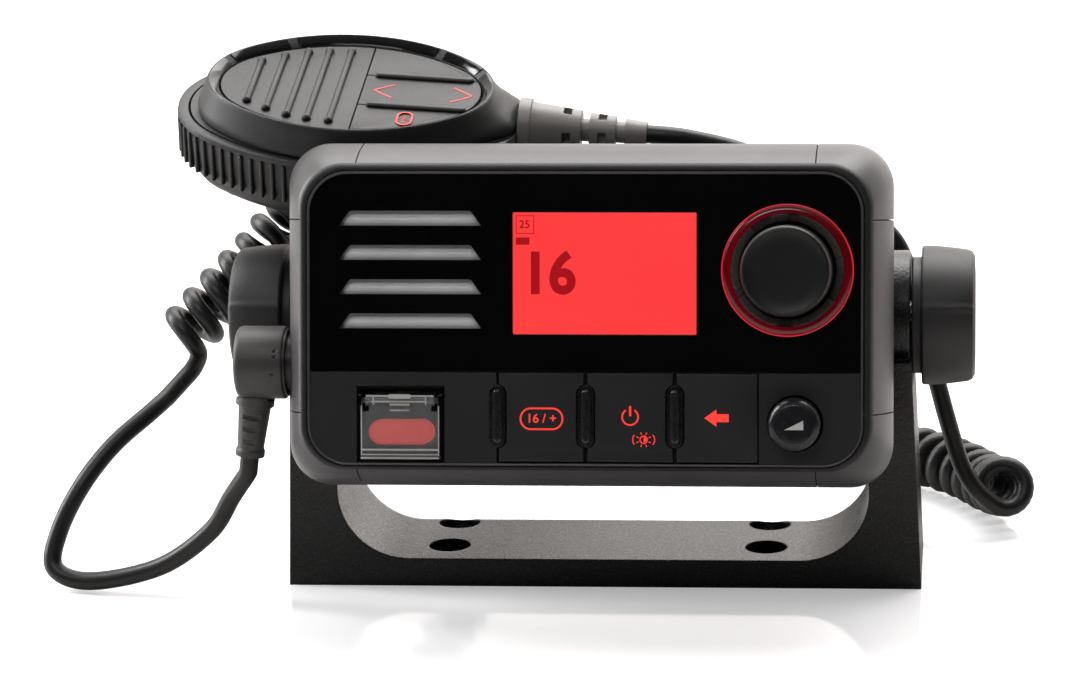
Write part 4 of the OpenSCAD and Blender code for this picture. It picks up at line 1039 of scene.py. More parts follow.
@dataclass
class Casing:
    """Grey front casing, its corner caps and the trim round the panel."""

    seam_u: float = 63.0
    seam_top: float = 27.5
    seam_low: float = -25.5
    gap: float = 0.16
    skin: float = 1.6
    least: float = 0.2
    trim: tuple[float, float, float, float] = (151.9, 80.1, 11.0, 0.5)
    # the outer form from the back to the front, the dark lip's own section, and the inner walls
    outer: tuple[Section, ...] = (
        (82.9, 46.4, 11.6, -28.0, 1.0), (83.5, 47.0, 12.0, -27.4, 1.0), (84.0, 47.5, 12.0, -19.0, 1.0),
        (84.0, 47.5, 12.0, -17.3, 1.0), (83.4, 46.85, 12.0, -14.0, 1.0), (82.6, 45.95, 12.0, -11.0, 1.0),
        (81.9, 45.2, 12.0, -8.5, 1.0), (80.7, 43.85, 12.0, -5.4, 1.0), (79.6, 42.5, 12.0, -2.8, 1.0),
        (78.95, 41.8, 12.0, -1.5, 1.0), (78.5, 41.4, 12.0, -0.75, 0.97), (77.8, 40.95, 12.0, -0.25, 0.85),
        (77.1, 40.85, 11.9, -0.02, 0.6), (76.55, 40.62, 11.6, -0.05, 0.52), (76.3, 40.4, 11.4, -0.4, 0.5),
        (76.3, 40.4, 11.4, -3.1, 0.5))
    lip: tuple[Section, ...] = (
        (78.0, 41.8, 12.0, -2.3, 0.95), (78.35, 42.05, 12.0, -1.55, 0.98), (78.25, 41.72, 12.0, -0.65, 0.97),
        (77.95, 41.3, 12.0, -0.18, 0.9), (77.5, 41.0, 12.0, 0.04, 0.78),
        (77.1, 40.9, 11.9, 0.1, 0.62), (76.6, 40.66, 11.6, 0.08, 0.54),
        (76.22, 40.32, 11.3, -0.3, 0.5), (76.22, 40.32, 11.3, -2.3, 0.5))
    hidden: tuple[Section, ...] = (
        (71.4, 38.3, 9.5, -3.1, 0.5), (70.0, 37.0, 9.0, -25.0, 1.0), (69.0, 22.9, 3.0, -25.6, -1.55),
        (69.0, 22.9, 3.0, -27.9, -1.55), (69.4, 23.3, 3.2, -28.0, -1.55))

    def side_end(self, section: Section, drawn: float, gap: float, side: int, end: int) -> Point:
        """Where a straight side stops at a corner's seam.

        Args:
            section: the section.
            drawn: how far the outline is drawn inwards.
            gap: how far past the seam the point lies.
            side: 0 for the lower side, and on anticlockwise.
            end: 0 where the side starts, 1 where it ends.

        Returns:
            The point.
        """
        w, h, r, n, cv = self.shrunk(section, drawn)
        across = min(self.seam_u, w - r - self.least) + gap
        top = min(self.seam_top, cv + h - r - self.least) + gap
        low = max(self.seam_low, cv - h + r + self.least) - gap
        ends = (((-across, cv - h), (across, cv - h)), ((w, low), (w, top)),
                ((across, cv + h), (-across, cv + h)), ((-w, top), (-w, low)))
        return (*ends[side][end], n)

    @staticmethod
    def shrunk(section: Section, drawn: float) -> Section:
        """A section drawn inwards."""
        w, h, r, n, cv = section
        return (w - drawn, h - drawn, max(r - drawn, 0.6), n, cv)

    def corner(self, section: Section, drawn: float, k: int) -> list[Point]:
        """Points round the corner after side k, from seam to seam.

        Args:
            section: the section.
            drawn: how far it is drawn inwards.
            k: number of the side.

        Returns:
            The points.
        """
        w, h, r, n, cv = self.shrunk(section, drawn)
        cx, cy = (1, 1, -1, -1)[k] * (w - r), cv + (-1, 1, 1, -1)[k] * (h - r)
        bend = [(x, y, n) for x, y in arc(cx, cy, r, 270 + 90 * k, 360 + 90 * k, 14)]
        start = self.side_end(section, drawn, self.gap, k, 1)
        end = self.side_end(section, drawn, self.gap, (k + 1) % 4, 0)
        return steps(start, bend[0], 3)[:-1] + bend + steps(bend[-1], end, 3)[1:]

    def ring(self, section: Section, pocket: float) -> list[Point]:
        """A section's whole outline, drawn inwards by pocket at the corners.

        Args:
            section: the section.
            pocket: how far the corners are drawn inwards.

        Returns:
            The points.
        """
        out: list[Point] = []
        for k in range(4):
            out += steps(*(self.side_end(section, 0.0, -self.gap, k, end) for end in (0, 1)), 18)
            out += self.corner(section, pocket, k)
        return out

    @staticmethod
    def contour(section: Section) -> list[Point]:
        """Plain outline of one section."""
        w, h, r, n, cv = section
        return [(x, y, n) for x, y in round_box(2 * w, 2 * h, r, 16, 0, cv)]

    def build(self) -> None:
        """Makes the casing, the caps, the dark lip and the trim."""
        rings = [self.ring(sec, self.skin + 0.12) for sec in self.outer]
        rings += [self.ring(sec, 0.0) for sec in self.hidden]
        case = Shell().loft(rings, loop=True).piece("front_casing", Frame.FACE, CASE_GREY, 40)
        report(case, "radio", "bezel_grey", "bezel")
        caps = Shell()
        for k in range(4):
            front = self.outer[1:-1]
            skins = [self.corner(sec, 0.0, k) for sec in front]
            backs = [self.corner(sec, self.skin, k) for sec in reversed(front)]
            caps.grow(Shell().loft([list(p) for p in zip(*skins, *backs)]))
        report(caps.piece("corner_caps_skin", Frame.FACE, CAP_GREY, 40), "radio", "cap_grey", "corner_caps")
        lip = Shell().loft([self.contour(sec) for sec in self.lip], loop=True)
        report(lip.piece("bezel_lip", Frame.FACE, LIP_BLACK, 40), "radio", "bezel_grey")
        width, height, radius, middle = self.trim
        path = round_box(width, height, radius, 14, 0, middle)
        profile = ((-0.5, -3.0), (-0.5, 0.05), (-0.3, 0.25), (0.05, 0.25), (0.2, 0.05), (0.2, -3.0))
        trim = Shell().loft([[(x, y, z) for x, y in inset(path, -o)] for o, z in profile], loop=True)
        report(trim.piece("panel_trim", Frame.FACE, RIM_GREY, 50), "radio", "rim_grey", "panel_rim")


# ---- face of the radio ----


@dataclass
class Face:
    """Panel details: speaker scoops, display, ring, knobs, keys and the distress button."""

    lcd: tuple[float, float, float, float] = (5.55, 12.9, 50.3, 33.4)
    ring_at: Flat = (55.5, 13.9)
    vol_at: Flat = (57.6, -27.8)
    slot_at: Flat = (-47.8, 27.9)
    pitch: float = 9.35
    slot_w: float = 39.0
    slot_h: float = 4.0
    rib_u: tuple[float, float, float] = (-23.9, 0.4, 24.81)
    rib_v: float = -26.13
    rib_w: float = 4.3
    rib_h: float = 16.75
    key_gap: float = 0.35
    key_v: Flat = (-38.6, -14.3)
    key_end: float = 47.4
    key_top: float = 0.15
    seam: float = 0.5
    mark_16: Flat = (-11.7, -26.8)
    mark_power: Flat = (12.6, -26.2)
    mark_lamp: Flat = (16.3, -32.4)
    mark_back: Flat = (36.2, -26.4)
    pill_at: Flat = (-51.0, -30.9)
    cover_u: float = -50.5
    cover_v: Flat = (-38.0, -20.7)
    cover_half: float = 10.8

    @staticmethod
    def turned(profile: Sequence[Flat], at: Flat, n: int = 96) -> Shell:
        """A turned piece that stands on the face at a point."""
        return lathe(profile, n).moved(Matrix.Translation((at[0], at[1], 0)))

    def grille(self) -> None:
        """Silvery scoops behind the four slots: deep at the top and rising to the lower lip."""
        out = Shell()
        cols, rows = 40, 9
        for k in range(4):
            cy = self.slot_at[1] - k * self.pitch
            rings = []
            for i in range(cols + 1):
                x = self.slot_at[0] + (self.slot_w / 2 + 1.0) * (2 * i / cols - 1)
                close = max(0.0, abs(x - self.slot_at[0]) - (self.slot_w / 2 - 5.5)) / 6.5
                line = []
                for j in range(rows + 1):
                    t = j / rows
                    y = cy - self.slot_h / 2 - 0.5 + (self.slot_h + 1.2) * t
                    deep = 0.55 + 2.1 * t**2.2 + 0.5 * (1 - t) ** 6 + 1.6 * close**3
                    line.append((x, y, -min(deep, 3.4) - 0.2))
                line += [(x, cy + self.slot_h / 2 + 0.7, -3.9), (x, cy - self.slot_h / 2 - 0.5, -3.9)]
                rings.append(line)
            out.grow(Shell().loft(rings))
        mid = self.slot_at[1] - 1.5 * self.pitch
        plate = round_box(self.slot_w + 3, self.pitch * 4 + 2, 1.5, 4, self.slot_at[0], mid)
        out.grow(slab(plate, -6, -3.95, 0.3))
        report(out.piece("grille_scoops", Frame.FACE, GRILLE_SILVER, 45), "radio", "grille_mesh",
               "speaker_grille")

    @staticmethod
    def text(name: str, words: str, size: float, at: Flat, height: float, finish: Surface,
             heavy: float = 0.0, turn: float = 0.0, frame: Frame = Frame.FACE,
             wide: float = 1.0) -> bpy.types.Object:
        """Plain figures as thin raised shapes.

        Args:
            name: the piece's name.
            words: figures or signs.
            size: height of a figure in millimetres.
            at: centre.
            height: where the back of the figures is, above the face.
            finish: their finish.
            heavy: how far strokes are thickened.
            turn: degrees anticlockwise.
            frame: the frame they are drawn in.
            wide: stretch of the width.

        Returns:
            The mesh object.
        """
        curve = bpy.data.curves.new(name + "_words", "FONT")
        curve.body = words
        curve.size = size / 0.73
        curve.align_x, curve.align_y = "CENTER", "CENTER"
        curve.offset = heavy
        curve.extrude = 0.04
        holder = bpy.data.objects.new(name + "_words", curve)
        bpy.context.collection.objects.link(holder)
        graph = bpy.context.evaluated_depsgraph_get()
        mesh = bpy.data.meshes.new_from_object(holder.evaluated_get(graph))
        bpy.data.objects.remove(holder)
        local = Matrix.Translation((*at, height + 0.04)) @ Matrix.Rotation(math.radians(turn), 4, "Z")
        mesh.transform(frame.matrix() @ Matrix.Scale(0.001, 4) @ local @ Matrix.Diagonal((wide, 1, 1, 1)))
        mesh.materials.clear()
        mesh.materials.append(finish.material())
        mesh.name = name
        made = bpy.data.objects.new(name, mesh)
        bpy.context.collection.objects.link(made)
        return made

    def display(self) -> None:
        """Lit display with plain channel figures under its window."""
        u, v, w, h = self.lcd
        lens = slab(round_box(w - 0.2, h - 0.2, 0.3, 3, u, v), -1.7, -0.15, 0.1)
        report(lens.piece("display_window", Frame.FACE, LCD_RED, 50), "radio", "lcd_glass", "lcd_lens")
        x0, y0 = u - w / 2, v + h / 2
        sixteen = self.text("display_channel", "16", 11.4, (x0 + 9.9, y0 - 17.2), -0.14, LCD_DARK, 0.5,
                            wide=0.95)
        report(sixteen, "radio", "lcd_frame")
        box = Shell()
        # the four sides of the small frame and the bar under it, each as left, upper, right and lower edge
        for a, b, c, d in ((0.9, 0.9, 5.9, 1.1), (0.9, 5.7, 5.9, 5.9), (0.9, 0.9, 1.1, 5.9),
                           (5.7, 0.9, 5.9, 5.9), (0.9, 6.9, 4.6, 8.9)):
            ring = [(x0 + a, y0 - d), (x0 + c, y0 - d), (x0 + c, y0 - b), (x0 + a, y0 - b)]
            box.grow(slab(ring, -0.14, -0.06, 0.01))
        report(box.piece("display_boxes", Frame.FACE, LCD_DARK, 50), "radio", "lcd_frame")
        small = self.text("display_power", "25", 2.2, (x0 + 3.3, y0 - 3.4), -0.14, LCD_DARK, 0.05)
        report(small, "radio", "lcd_frame")

    def selector(self) -> None:
        """Rotary selector: red ring with a bright edge, a collar in raised arcs whose grey is a painted gloss
        reflection, and the knob.
        """
        at = self.ring_at
        edge = self.turned([(17.75, 0.2), (17.75, 0.85), (17.9, 0.95), (18.05, 0.8), (18.05, 0.2)], at, 128)
        report(edge.piece("ring_edge", Frame.FACE, EDGE_RED, 50), "radio", "ring_red")
        red = self.turned([(15.5, -3), (15.5, 1.35), (15.8, 1.5), (16.6, 1.45), (17.4, 1.1), (17.7, 0.75),
                           (17.7, 0.1), (18.0, 0.1), (18.0, -3)], at, 128)
        report(red.piece("ring_lens", Frame.FACE, RING_RED, 50), "radio", "ring_red", "knob_ring")
        collar = Shell()
        rings = []
        # where the collar drops away, breaking its painted gloss reflection into arcs
        cuts = ((84, 10), (118, 22), (204, 8), (268, 14), (345, 34))
        for i in range(192):
            a = 360 * i / 192
            low = 0.0
            for mid, half in cuts:
                near = abs((a - mid + 180) % 360 - 180)
                low = max(low, min(1.0, max(0.0, (half / 2 + 1.5 - near) / 1.5)))
            lift = -0.9 * low
            profile = ((13.35, -3), (13.35, 0.0 + lift), (13.6, 0.25 + lift), (15.0, 1.3 + lift),
                       (15.3, 1.35 + lift), (15.45, 1.2 + lift), (15.45, -3))
            c, s = math.cos(math.radians(a)), math.sin(math.radians(a))
            rings.append([(at[0] + r * c, at[1] + r * s, z) for r, z in profile])
        collar.loft(rings, loop=True)
        report(collar.piece("ring_collar", Frame.FACE, COLLAR_SHEEN, 40), "radio", "frame_black")
        knob = self.turned([(3.05, -1.6), (3.05, 11.4), (1e-4, 11.4), (1e-4, 12.75), (4, 12.8), (8, 12.95),
                            (10.3, 13.15), (10.9, 13.4), (11.3, 13.5), (11.8, 13.35), (12.15, 12.9),
                            (12.3, 12.2), (12.4, 11.0), (12.4, -1.3), (12.1, -1.6)], at)
        report(knob.piece("selector_knob", Frame.FACE, KNOB_BLACK, 30), "main_turn", "knob_black",
               "main_knob")

    def volume(self) -> None:
        """Small flat-topped knob with a broad bevel and a plain white wedge."""
        at = self.vol_at
        knob = self.turned([(3.05, -1.2), (3.05, 6.0), (1e-4, 6.0), (1e-4, 7.98), (3, 7.98), (5.3, 7.96),
                            (5.6, 7.85), (6.85, 6.75), (7.1, 6.3), (7.2, 5.6), (7.2, 3.4), (7.2, 1.5),
                            (7.2, -0.9), (6.9, -1.2)], at)
        report(knob.piece("volume_knob", Frame.FACE, KNOB_SHEEN, 30), "vol_turn", "knob_black", "vol_knob")
        mark = slab([(at[0] - 2.6, at[1] - 1.3), (at[0] + 2.6, at[1] - 1.3), (at[0] + 2.6, at[1] + 1.3)],
                    7.9, 8.0, 0.02)
        report(mark.piece("volume_mark", Frame.FACE, WHITE_INK, 50), "vol_turn", "knob_black")

    @staticmethod
    def outline_mark(outline: Sequence[Flat], wide: float, z0: float, z1: float) -> Shell:
        """A line of even width that follows a closed outline."""
        rows = ((0, z0), (0, z1), (wide, z1), (wide, z0))
        return Shell().loft([[(x, y, z) for x, y in inset(outline, o)] for o, z in rows], loop=True)

    def marks(self) -> None:
        """Red-lit marks on the three keys."""
        z0, z1 = self.key_top - 0.02, self.key_top + 0.12
        ring = self.outline_mark(round_box(12.0, 6.2, 3.05, 12, *self.mark_16), 0.5, z0, z1)
        report(ring.piece("mark_pill", Frame.FACE, MARK_RED, 50), "key_16_b", "key_rubber")
        words = self.text("mark_16", "16 / +", 2.5, self.mark_16, z0, MARK_RED, 0.06)
        report(words, "key_16_b", "key_rubber")
        u, v = self.mark_power
        power = self.swept(self.mark_power, (1.95, 2.42), 122, 418, 32, 1.0)
        power.grow(slab(round_box(0.62, 2.9, 0.3, 4, u, v + 1.6), z0, z1, 0.03))
        report(power.piece("mark_power", Frame.FACE, MARK_RED, 50), "key_power_b", "key_rubber")
        u, v = self.mark_lamp
        lamp = self.outline_mark(arc(u, v, 1.15, 0, 345, 23), 0.3, z0, z1)
        lamp.grow(slab(arc(u, v, 0.75, -90, 90, 12), z0, z1, 0.02))
        for k in range(8):
            a = math.radians(45 * k + 22.5)
            c, s = math.cos(a), math.sin(a)
            ray = ((1.45, -0.13), (2.15, -0.13), (2.15, 0.13), (1.45, 0.13))
            lamp.grow(slab([(u + r * c - t * s, v + r * s + t * c) for r, t in ray], z0, z1, 0.02))
        for a in (180, 0):
            lamp.grow(self.swept(self.mark_lamp, (2.85, 3.15), a - 32, a + 32, 12, 0.85))
        report(lamp.piece("mark_backlight", Frame.FACE, MARK_RED, 50), "key_power_b", "key_rubber")
        u, v = self.mark_back
        arrow = slab([(u - 3.35, v), (u, v - 2.35), (u, v + 2.35)], z0, z1, 0.03)
        arrow.grow(slab([(u - 0.1, v - 1.1), (u + 3.35, v - 1.1), (u + 3.35, v + 1.1), (u - 0.1, v + 1.1)],
                        z0, z1, 0.03))
        report(arrow.piece("mark_back", Frame.FACE, MARK_RED, 50), "key_back_b", "key_rubber")

    def swept(self, at: Flat, radii: Flat, a0: float, a1: float, n: int, tall: float) -> Shell:
        """An open arc of a flat line on the keys, between two radii and two angles in degrees.

        Args:
            at: middle of the arc.
            radii: inner and outer radius.
            a0: first angle.
            a1: last angle.
            n: number of steps.
            tall: stretch of the arc upwards.

        Returns:
            The line.
        """
        z0, z1 = self.key_top - 0.02, self.key_top + 0.12
        rows = ((radii[0], z0), (radii[0], z1), (radii[1], z1), (radii[1], z0))
        return Shell().loft([[(at[0] + r * x, at[1] + tall * r * y, z) for r, z in rows]
                             for x, y in arc(0, 0, 1, a0, a1, n)])

    def keys(self) -> None:
        """Three silicone keys with soft edges, cut back in an arc beside each rib."""
        half, reach = self.rib_w / 2 + self.key_gap, (self.rib_h - self.rib_w) / 2
        lean = math.degrees(math.asin(self.seam / half))
        low, high = self.key_v
        bodies = ("key_16_b", "key_power_b", "key_back_b")
        for k, (body, node) in enumerate(zip(bodies, ("key_16", "key_power", "key_back"))):
            left = self.rib_u[k]
            outline = [(left + self.seam, high), *arc(left, self.rib_v + reach, half, 90 - lean, 0, 12),
                       *arc(left, self.rib_v - reach, half, 0, lean - 90, 12), (left + self.seam, low)]
            if k < 2:
                right = self.rib_u[k + 1]
                outline += [(right - self.seam, low),
                            *arc(right, self.rib_v - reach, half, 270 - lean, 180, 12),
                            *arc(right, self.rib_v + reach, half, 180, 90 + lean, 12),
                            (right - self.seam, high)]
            else:
                outline += [(self.key_end, low), (self.key_end, high)]
            key = slab(outline, -1.5, self.key_top, 0.42)
            report(key.piece(f"key_cap_{k}", Frame.FACE, STRIP_RUBBER, 40), body, "key_rubber", node)

    def rib_pockets(self) -> None:
        """Painted shade: plates darker than the keypad for the recessed pockets between the keys, each with a
        polished rib.
        """
        dark, ribs = Shell(), Shell()
        for u in self.rib_u:
            dark.grow(slab(round_box(4.5, 17.0, 2.24, 12, u, self.rib_v), -0.3, 0.06, 0.04))
            ribs.grow(slab(round_box(2.5, 14.9, 1.24, 12, u, self.rib_v), -0.1, 0.8, 0.8, 0.1))
        report(dark.piece("rib_pockets", Frame.FACE, POCKET_SHADE, 50), "radio", "key_rubber")
        report(ribs.piece("keypad_ribs", Frame.FACE, RIB_RUBBER, 50), "radio", "key_rubber")

    def cover_edges(self) -> None:
        """Edges, hinge lug and grip lines of the clear cover in a paler, hazier plastic: painted highlights
        where they catch the light.
        """
        u, (low, high), half = self.cover_u, self.cover_v, self.cover_half
        bars = ((u, high, 18.6, 0.45, 1.35), (u, high - 1.5, 15.5, 0.4, 1.9),
                (u, high - 0.1, 6.4, 1.2, 1.85), (u, high - 2.3, 5.6, 0.5, 1.85),
                (u, high - 3.9, 5.4, 0.4, 1.7), (u - 7.2, high - 1.1, 0.4, 2.6, 1.9),
                (u + 7.2, high - 1.1, 0.4, 2.6, 1.9),
                (u, low + 2.6, 2 * half, 0.5, 1.5), (u, low + 1.3, 2 * half, 0.32, 1.45),
                (u, low + 0.3, 2 * half, 0.5, 1.2))
        out = Shell()
        # each bar's middle, width, height and how far it stands up
        for x, y, wide, tall, top in bars:
            out.grow(slab(round_box(wide, tall, min(wide, tall) * 0.48, 4, x, y), 0.9, top, 0.1))
        for sign in (-1, 1):
            out.grow(slab(round_box(0.35, high - low - 2, 0.16, 4, u + sign * (half - 0.2), (high + low) / 2),
                          0.9, 1.1, 0.08))
        report(out.piece("cover_edges", Frame.FACE, COVER_HIGHLIGHT, 50), "cover", "cover_clear")

    def distress(self) -> None:
        """The red button in its recess, domed, with a painted glow."""
        pill = slab(round_box(17.8, 6.8, 3.35, 12, *self.pill_at), -8.4, -2.9, 1.3, 0.45)
        report(pill.piece("distress_pill", Frame.FACE, PILL_PAINTED_GLOW, 40), "distress", "distress_red",
               "distress_button")

    def build(self) -> None:
        """Makes everything on the face."""
        self.grille()
        self.display()
        self.selector()
        self.volume()
        self.keys()
        self.rib_pockets()
        self.marks()
        self.distress()
        self.cover_edges()


# ---- clamp knobs and plug ----


@dataclass
class Clamps:
    """The two hand knobs: smooth drums with three narrow grip ridges."""

    profile: tuple[Flat, ...] = (
        (4.1, 88.4), (16.0, 88.4), (16.7, 88.9), (16.7, 91.0), (17.1, 91.25), (19.4, 91.3), (19.95, 91.8),
        (20.0, 93.0), (19.85, 96.5), (19.4, 101.0), (18.9, 104.6), (18.3, 105.8), (17.0, 106.5),
        (12.0, 106.7), (1e-4, 106.7), (1e-4, 102.6), (4.1, 102.6))

    def knob(self, sign: int, body: str, node: str) -> None:
        """Makes one knob on the side that sign gives.

        Args:
            sign: -1 for the left, 1 for the right.
            body: the body that it turns with.
            node: the CAD node that it covers.
        """
        n = 180
        rings = []
        for r, x in self.profile:
            line = []
            for i in range(n):
                a = math.tau * i / n
                lift = 0.0
                if 91.25 < x < 106.6 and r > 15:
                    for mid in (20, 140, 260):
                        near = abs((math.degrees(a) - mid + 180) % 360 - 180)
                        lift = max(lift, 0.45 * max(0.0, min(1.0, (2.6 - near) / 0.8)))
                    lift = min(lift, 20.0 - r + 0.12) if r > 19.6 else lift
                line.append((sign * x, -(r + lift) * math.cos(a), PIVOT_Z + (r + lift) * math.sin(a)))
            rings.append(line)
        made = Shell().loft(rings, loop=True)
        report(made.piece(node + "_drum", Frame.ROW, CLAMP_BLACK, 32), body, "clamp_black", node)

    def build(self) -> None:
        """Makes both knobs."""
        self.knob(-1, "clamp_left", "clamp_knob_left")
        self.knob(1, "clamp_right", "clamp_knob_right")


@dataclass
class Plug:
    """Right-angle plug of the microphone cord."""

    at: Point = (-92.0, -40.4, -12.5)
    r: float = 10.2
    # place along the drum and angle round it of each pit
    pits: tuple[Flat, ...] = ((-87.2, 200), (-87.2, 191), (-87.8, 163))

    def build(self) -> None:
        """Makes the drum, which covers the locking ring too, and cuts its three pits."""
        profile = [(1e-4, -85.25), (6.2, -85.2), (9.7, -85.25), (10.05, -85.45), (10.2, -85.9), (10.2, -97.4),
                   (9.9, -98.3), (9.2, -98.85), (8.0, -99.0), (1e-4, -99.0)]
        turn = Matrix.Translation((0, self.at[1], self.at[2])) @ Matrix.Rotation(-math.pi / 2, 4, "Y")
        body = lathe(profile).moved(turn @ Matrix.Diagonal((1, 1, -1, 1)))
        piece = body.piece("plug_drum", Frame.RADIO, PLUG_SKIN, 35)
        pits = Shell()
        for x, a in self.pits:
            y, z = self.r * math.cos(math.radians(a)), self.r * math.sin(math.radians(a))
            ball = lathe(arc(0, 0, 0.55, -90, 90, 8), 14)
            pits.grow(ball.moved(Matrix.Translation((x, self.at[1] + y, self.at[2] - z))))
        cutter = pits.piece("plug_pits", Frame.RADIO, PLUG_SKIN, 35)
        cut = piece.modifiers.new("pits", "BOOLEAN")
        cut.operation, cut.solver, cut.object = "DIFFERENCE", "EXACT", cutter
        graph = bpy.context.evaluated_depsgraph_get()
        mesh = bpy.data.meshes.new_from_object(piece.evaluated_get(graph))
        piece.modifiers.remove(cut)
        piece.data = mesh
        bpy.data.objects.remove(cutter)
        mesh.shade_smooth()
        mesh.set_sharp_from_angle(angle=math.radians(35))
        report(piece, "radio", "plug_black", "plug_body", "plug_ring")


# ---- microphone ----


@dataclass
class Mic:
    """Fist microphone: shell with a gloss crest, ribbed band, keys and ribs."""

    a: float = 41.5
    b: float = 29.5
    r: float = 22.0
    face_a: float = 38.2
    face_b: float = 25.6
    seam_x: float = 3.2
    rib_y: Flat = (8.0, -10.0)
    pill_at: Flat = (18.0, -17.3)
    count: int = 160

    def body_outline(self, a: float, b: float, r: float, tip: float, reach: float = 49.0) -> list[Flat]:
        """An oval that narrows smoothly to the cord's collar on the right, with evenly spaced points.

        Args:
            a: half length.
            b: half width.
            r: radius of the ends.
            tip: half width of the collar, 0 for none.
            reach: how far the collar goes.

        Returns:
            The outline.
        """
        points = oval(a, b, r, 30)
        if tip > 0:
            points = points + [(reach, -tip), (reach, tip)]
            points = sorted(set((round(x, 5), round(y, 5)) for x, y in points))

            def chain(items: Sequence[Flat]) -> list[Flat]:
                """One side of the convex hull of sorted points."""
                out: list[Flat] = []
                for p in items:
                    while len(out) > 1 and ((out[-1][0] - out[-2][0]) * (p[1] - out[-2][1])
                                            - (out[-1][1] - out[-2][1]) * (p[0] - out[-2][0])) <= 0:
                        out.pop()
                    out.append(p)
                return out

            points = chain(points)[:-1] + chain(points[::-1])[:-1]
        total = [0.0]
        loop = points + points[:1]
        for p, q in zip(loop, loop[1:]):
            total.append(total[-1] + math.hypot(q[0] - p[0], q[1] - p[1]))
        # start where the outline crosses the left end, so that rings match each other
        left = min(range(len(points)), key=lambda i: points[i][0] + abs(points[i][1]) * 0.001)
        start = total[left]
        out = []
        for k in range(self.count):
            s = (start + total[-1] * k / self.count) % total[-1]
            i = max(j for j in range(len(total)) if total[j] <= s + 1e-9)
            i = min(i, len(points) - 1)
            f = (s - total[i]) / max(total[i + 1] - total[i], 1e-9)
            p, q = loop[i], loop[i + 1]
            out.append((p[0] + (q[0] - p[0]) * f, p[1] + (q[1] - p[1]) * f))
        for _ in range(3):
            out = [tuple((out[i - 1][c] + 2 * out[i][c] + out[(i + 1) % len(out)][c]) / 4 for c in (0, 1))
                   for i in range(len(out))]
        return out

    def rings(self, rows: Sequence[tuple[float, ...]]) -> list[list[Point]]:
        """Rings of half length, half width, end radius, tip, height and, where it isn't the collar, reach.

        Args:
            rows: the numbers of each ring.

        Returns:
            The rings.
        """
        out = []
        for a, b, r, tip, z, *reach in rows:
            out.append([(x, y, z) for x, y in self.body_outline(a, b, r, tip, *reach)])
        return out

    def crest(self) -> None:
        """The shell's rim, which slopes in to the face, and its gloss lining with four notches."""
        rows = [(44.5, 31.7, 23, 8.2, -7.0), (44.5, 31.7, 23, 8.2, -5.6), (44.2, 31.4, 23, 7.8, -4.6, 48.6),
                (43.6, 31.0, 22.7, 7.0, -3.4, 46.8), (43.0, 30.5, 22.4, 6.2, -1.8, 44.6),
                (42.3, 30.0, 22.1, 0, 0.0), (41.8, 29.65, 22, 0, 1.3), (41.5, 29.4, 22, 0, 1.85),
                (41.1, 29.1, 22, 0, 2.05), (40.7, 28.6, 21.5, 0, 1.8), (39.5, 27.3, 20.4, 0, 0.95),
                (38.4, 26.0, 19.3, 0, 0.1), (38.25, 25.75, 19.1, 0, -0.2), (38.25, 25.7, 19.1, 0, -3.0),
                (42.0, 29.0, 21, 0, -7.0)]
        shell = Shell().loft(self.rings(rows), loop=True)
        report(shell.piece("mic_crest", Frame.MIC, MIC_FACE, 40), "mic", "mic_shell", "mic_front_shell")
        lining = ((41.15, 29.15, 22, 2.0), (40.9, 28.85, 21.7, 2.12), (40.5, 28.4, 21.3, 1.95),
                  (39.5, 27.25, 20.35, 1.2), (38.6, 26.2, 19.5, 0.5), (38.38, 25.95, 19.25, 0.2),
                  (38.6, 26.2, 19.5, 0.0), (40.7, 28.6, 21.5, 1.6))
        lines = [self.body_outline(a, b, r, 0) for a, b, r, _ in lining]
        gloss = Shell()
        stops = (0.555, 0.64, 0.85, 0.95, 1.555)
        for start, end in zip(stops, stops[1:]):
            first, last = round(start * self.count) + 1, round(end * self.count) - 1
            gloss.grow(Shell().loft([[(*line[i % self.count], row[3]) for line, row in zip(lines, lining)]
                                     for i in range(first, last + 1)]))
        report(gloss.piece("mic_crest_gloss", Frame.MIC, MIC_GLOSS, 40), "mic", "mic_shell")

    def clipped(self, x0: float, x1: float, y0: float, y1: float, s: float) -> list[Flat]:
        """The part of the face oval inside a box, drawn inwards by s.

        Args:
            x0: the box's left.
            x1: its right.
            y0: its lower edge.
            y1: its upper edge.
            s: how far the oval is drawn inwards.

        Returns:
            The outline.
        """
        shape = oval(self.face_a - 0.5 - s, self.face_b - 0.5 - s, 18.4 - s, 30)
        for axis, limit, keep_low in ((0, x1, True), (0, x0, False), (1, y1, True), (1, y0, False)):
            out: list[Flat] = []
            for i, p in enumerate(shape):
                q = shape[(i + 1) % len(shape)]
                p_in = p[axis] <= limit if keep_low else p[axis] >= limit
                q_in = q[axis] <= limit if keep_low else q[axis] >= limit
                if p_in:
                    out.append(p)
                if p_in != q_in:
                    f = (limit - p[axis]) / (q[axis] - p[axis])
                    out.append((p[0] + (q[0] - p[0]) * f, p[1] + (q[1] - p[1]) * f))
            shape = out
        return shape

    @staticmethod
    def capsule(half: float, r: float, ball: float) -> Shell:
        """A rib along Y with ball ends.

        Args:
            half: half the distance of the balls' middles.
            r: radius between the balls.
            ball: radius of the balls.

        Returns:
            The rib.
        """
        prof = [(1e-4, -half - ball)]
        for angles, mid in (((30, 60, 90, 115), -half), ((65, 90, 120, 150), half)):
            if mid > 0:
                prof += [(r, ball * 0.8 - half), (r, half - ball * 0.8)]
            prof += [(ball * math.sin(math.radians(a)), mid - ball * math.cos(math.radians(a)))
                     for a in angles]
        prof.append((1e-4, half + ball))
        return lathe(prof, 20).moved(Matrix.Rotation(-math.pi / 2, 4, "X"))

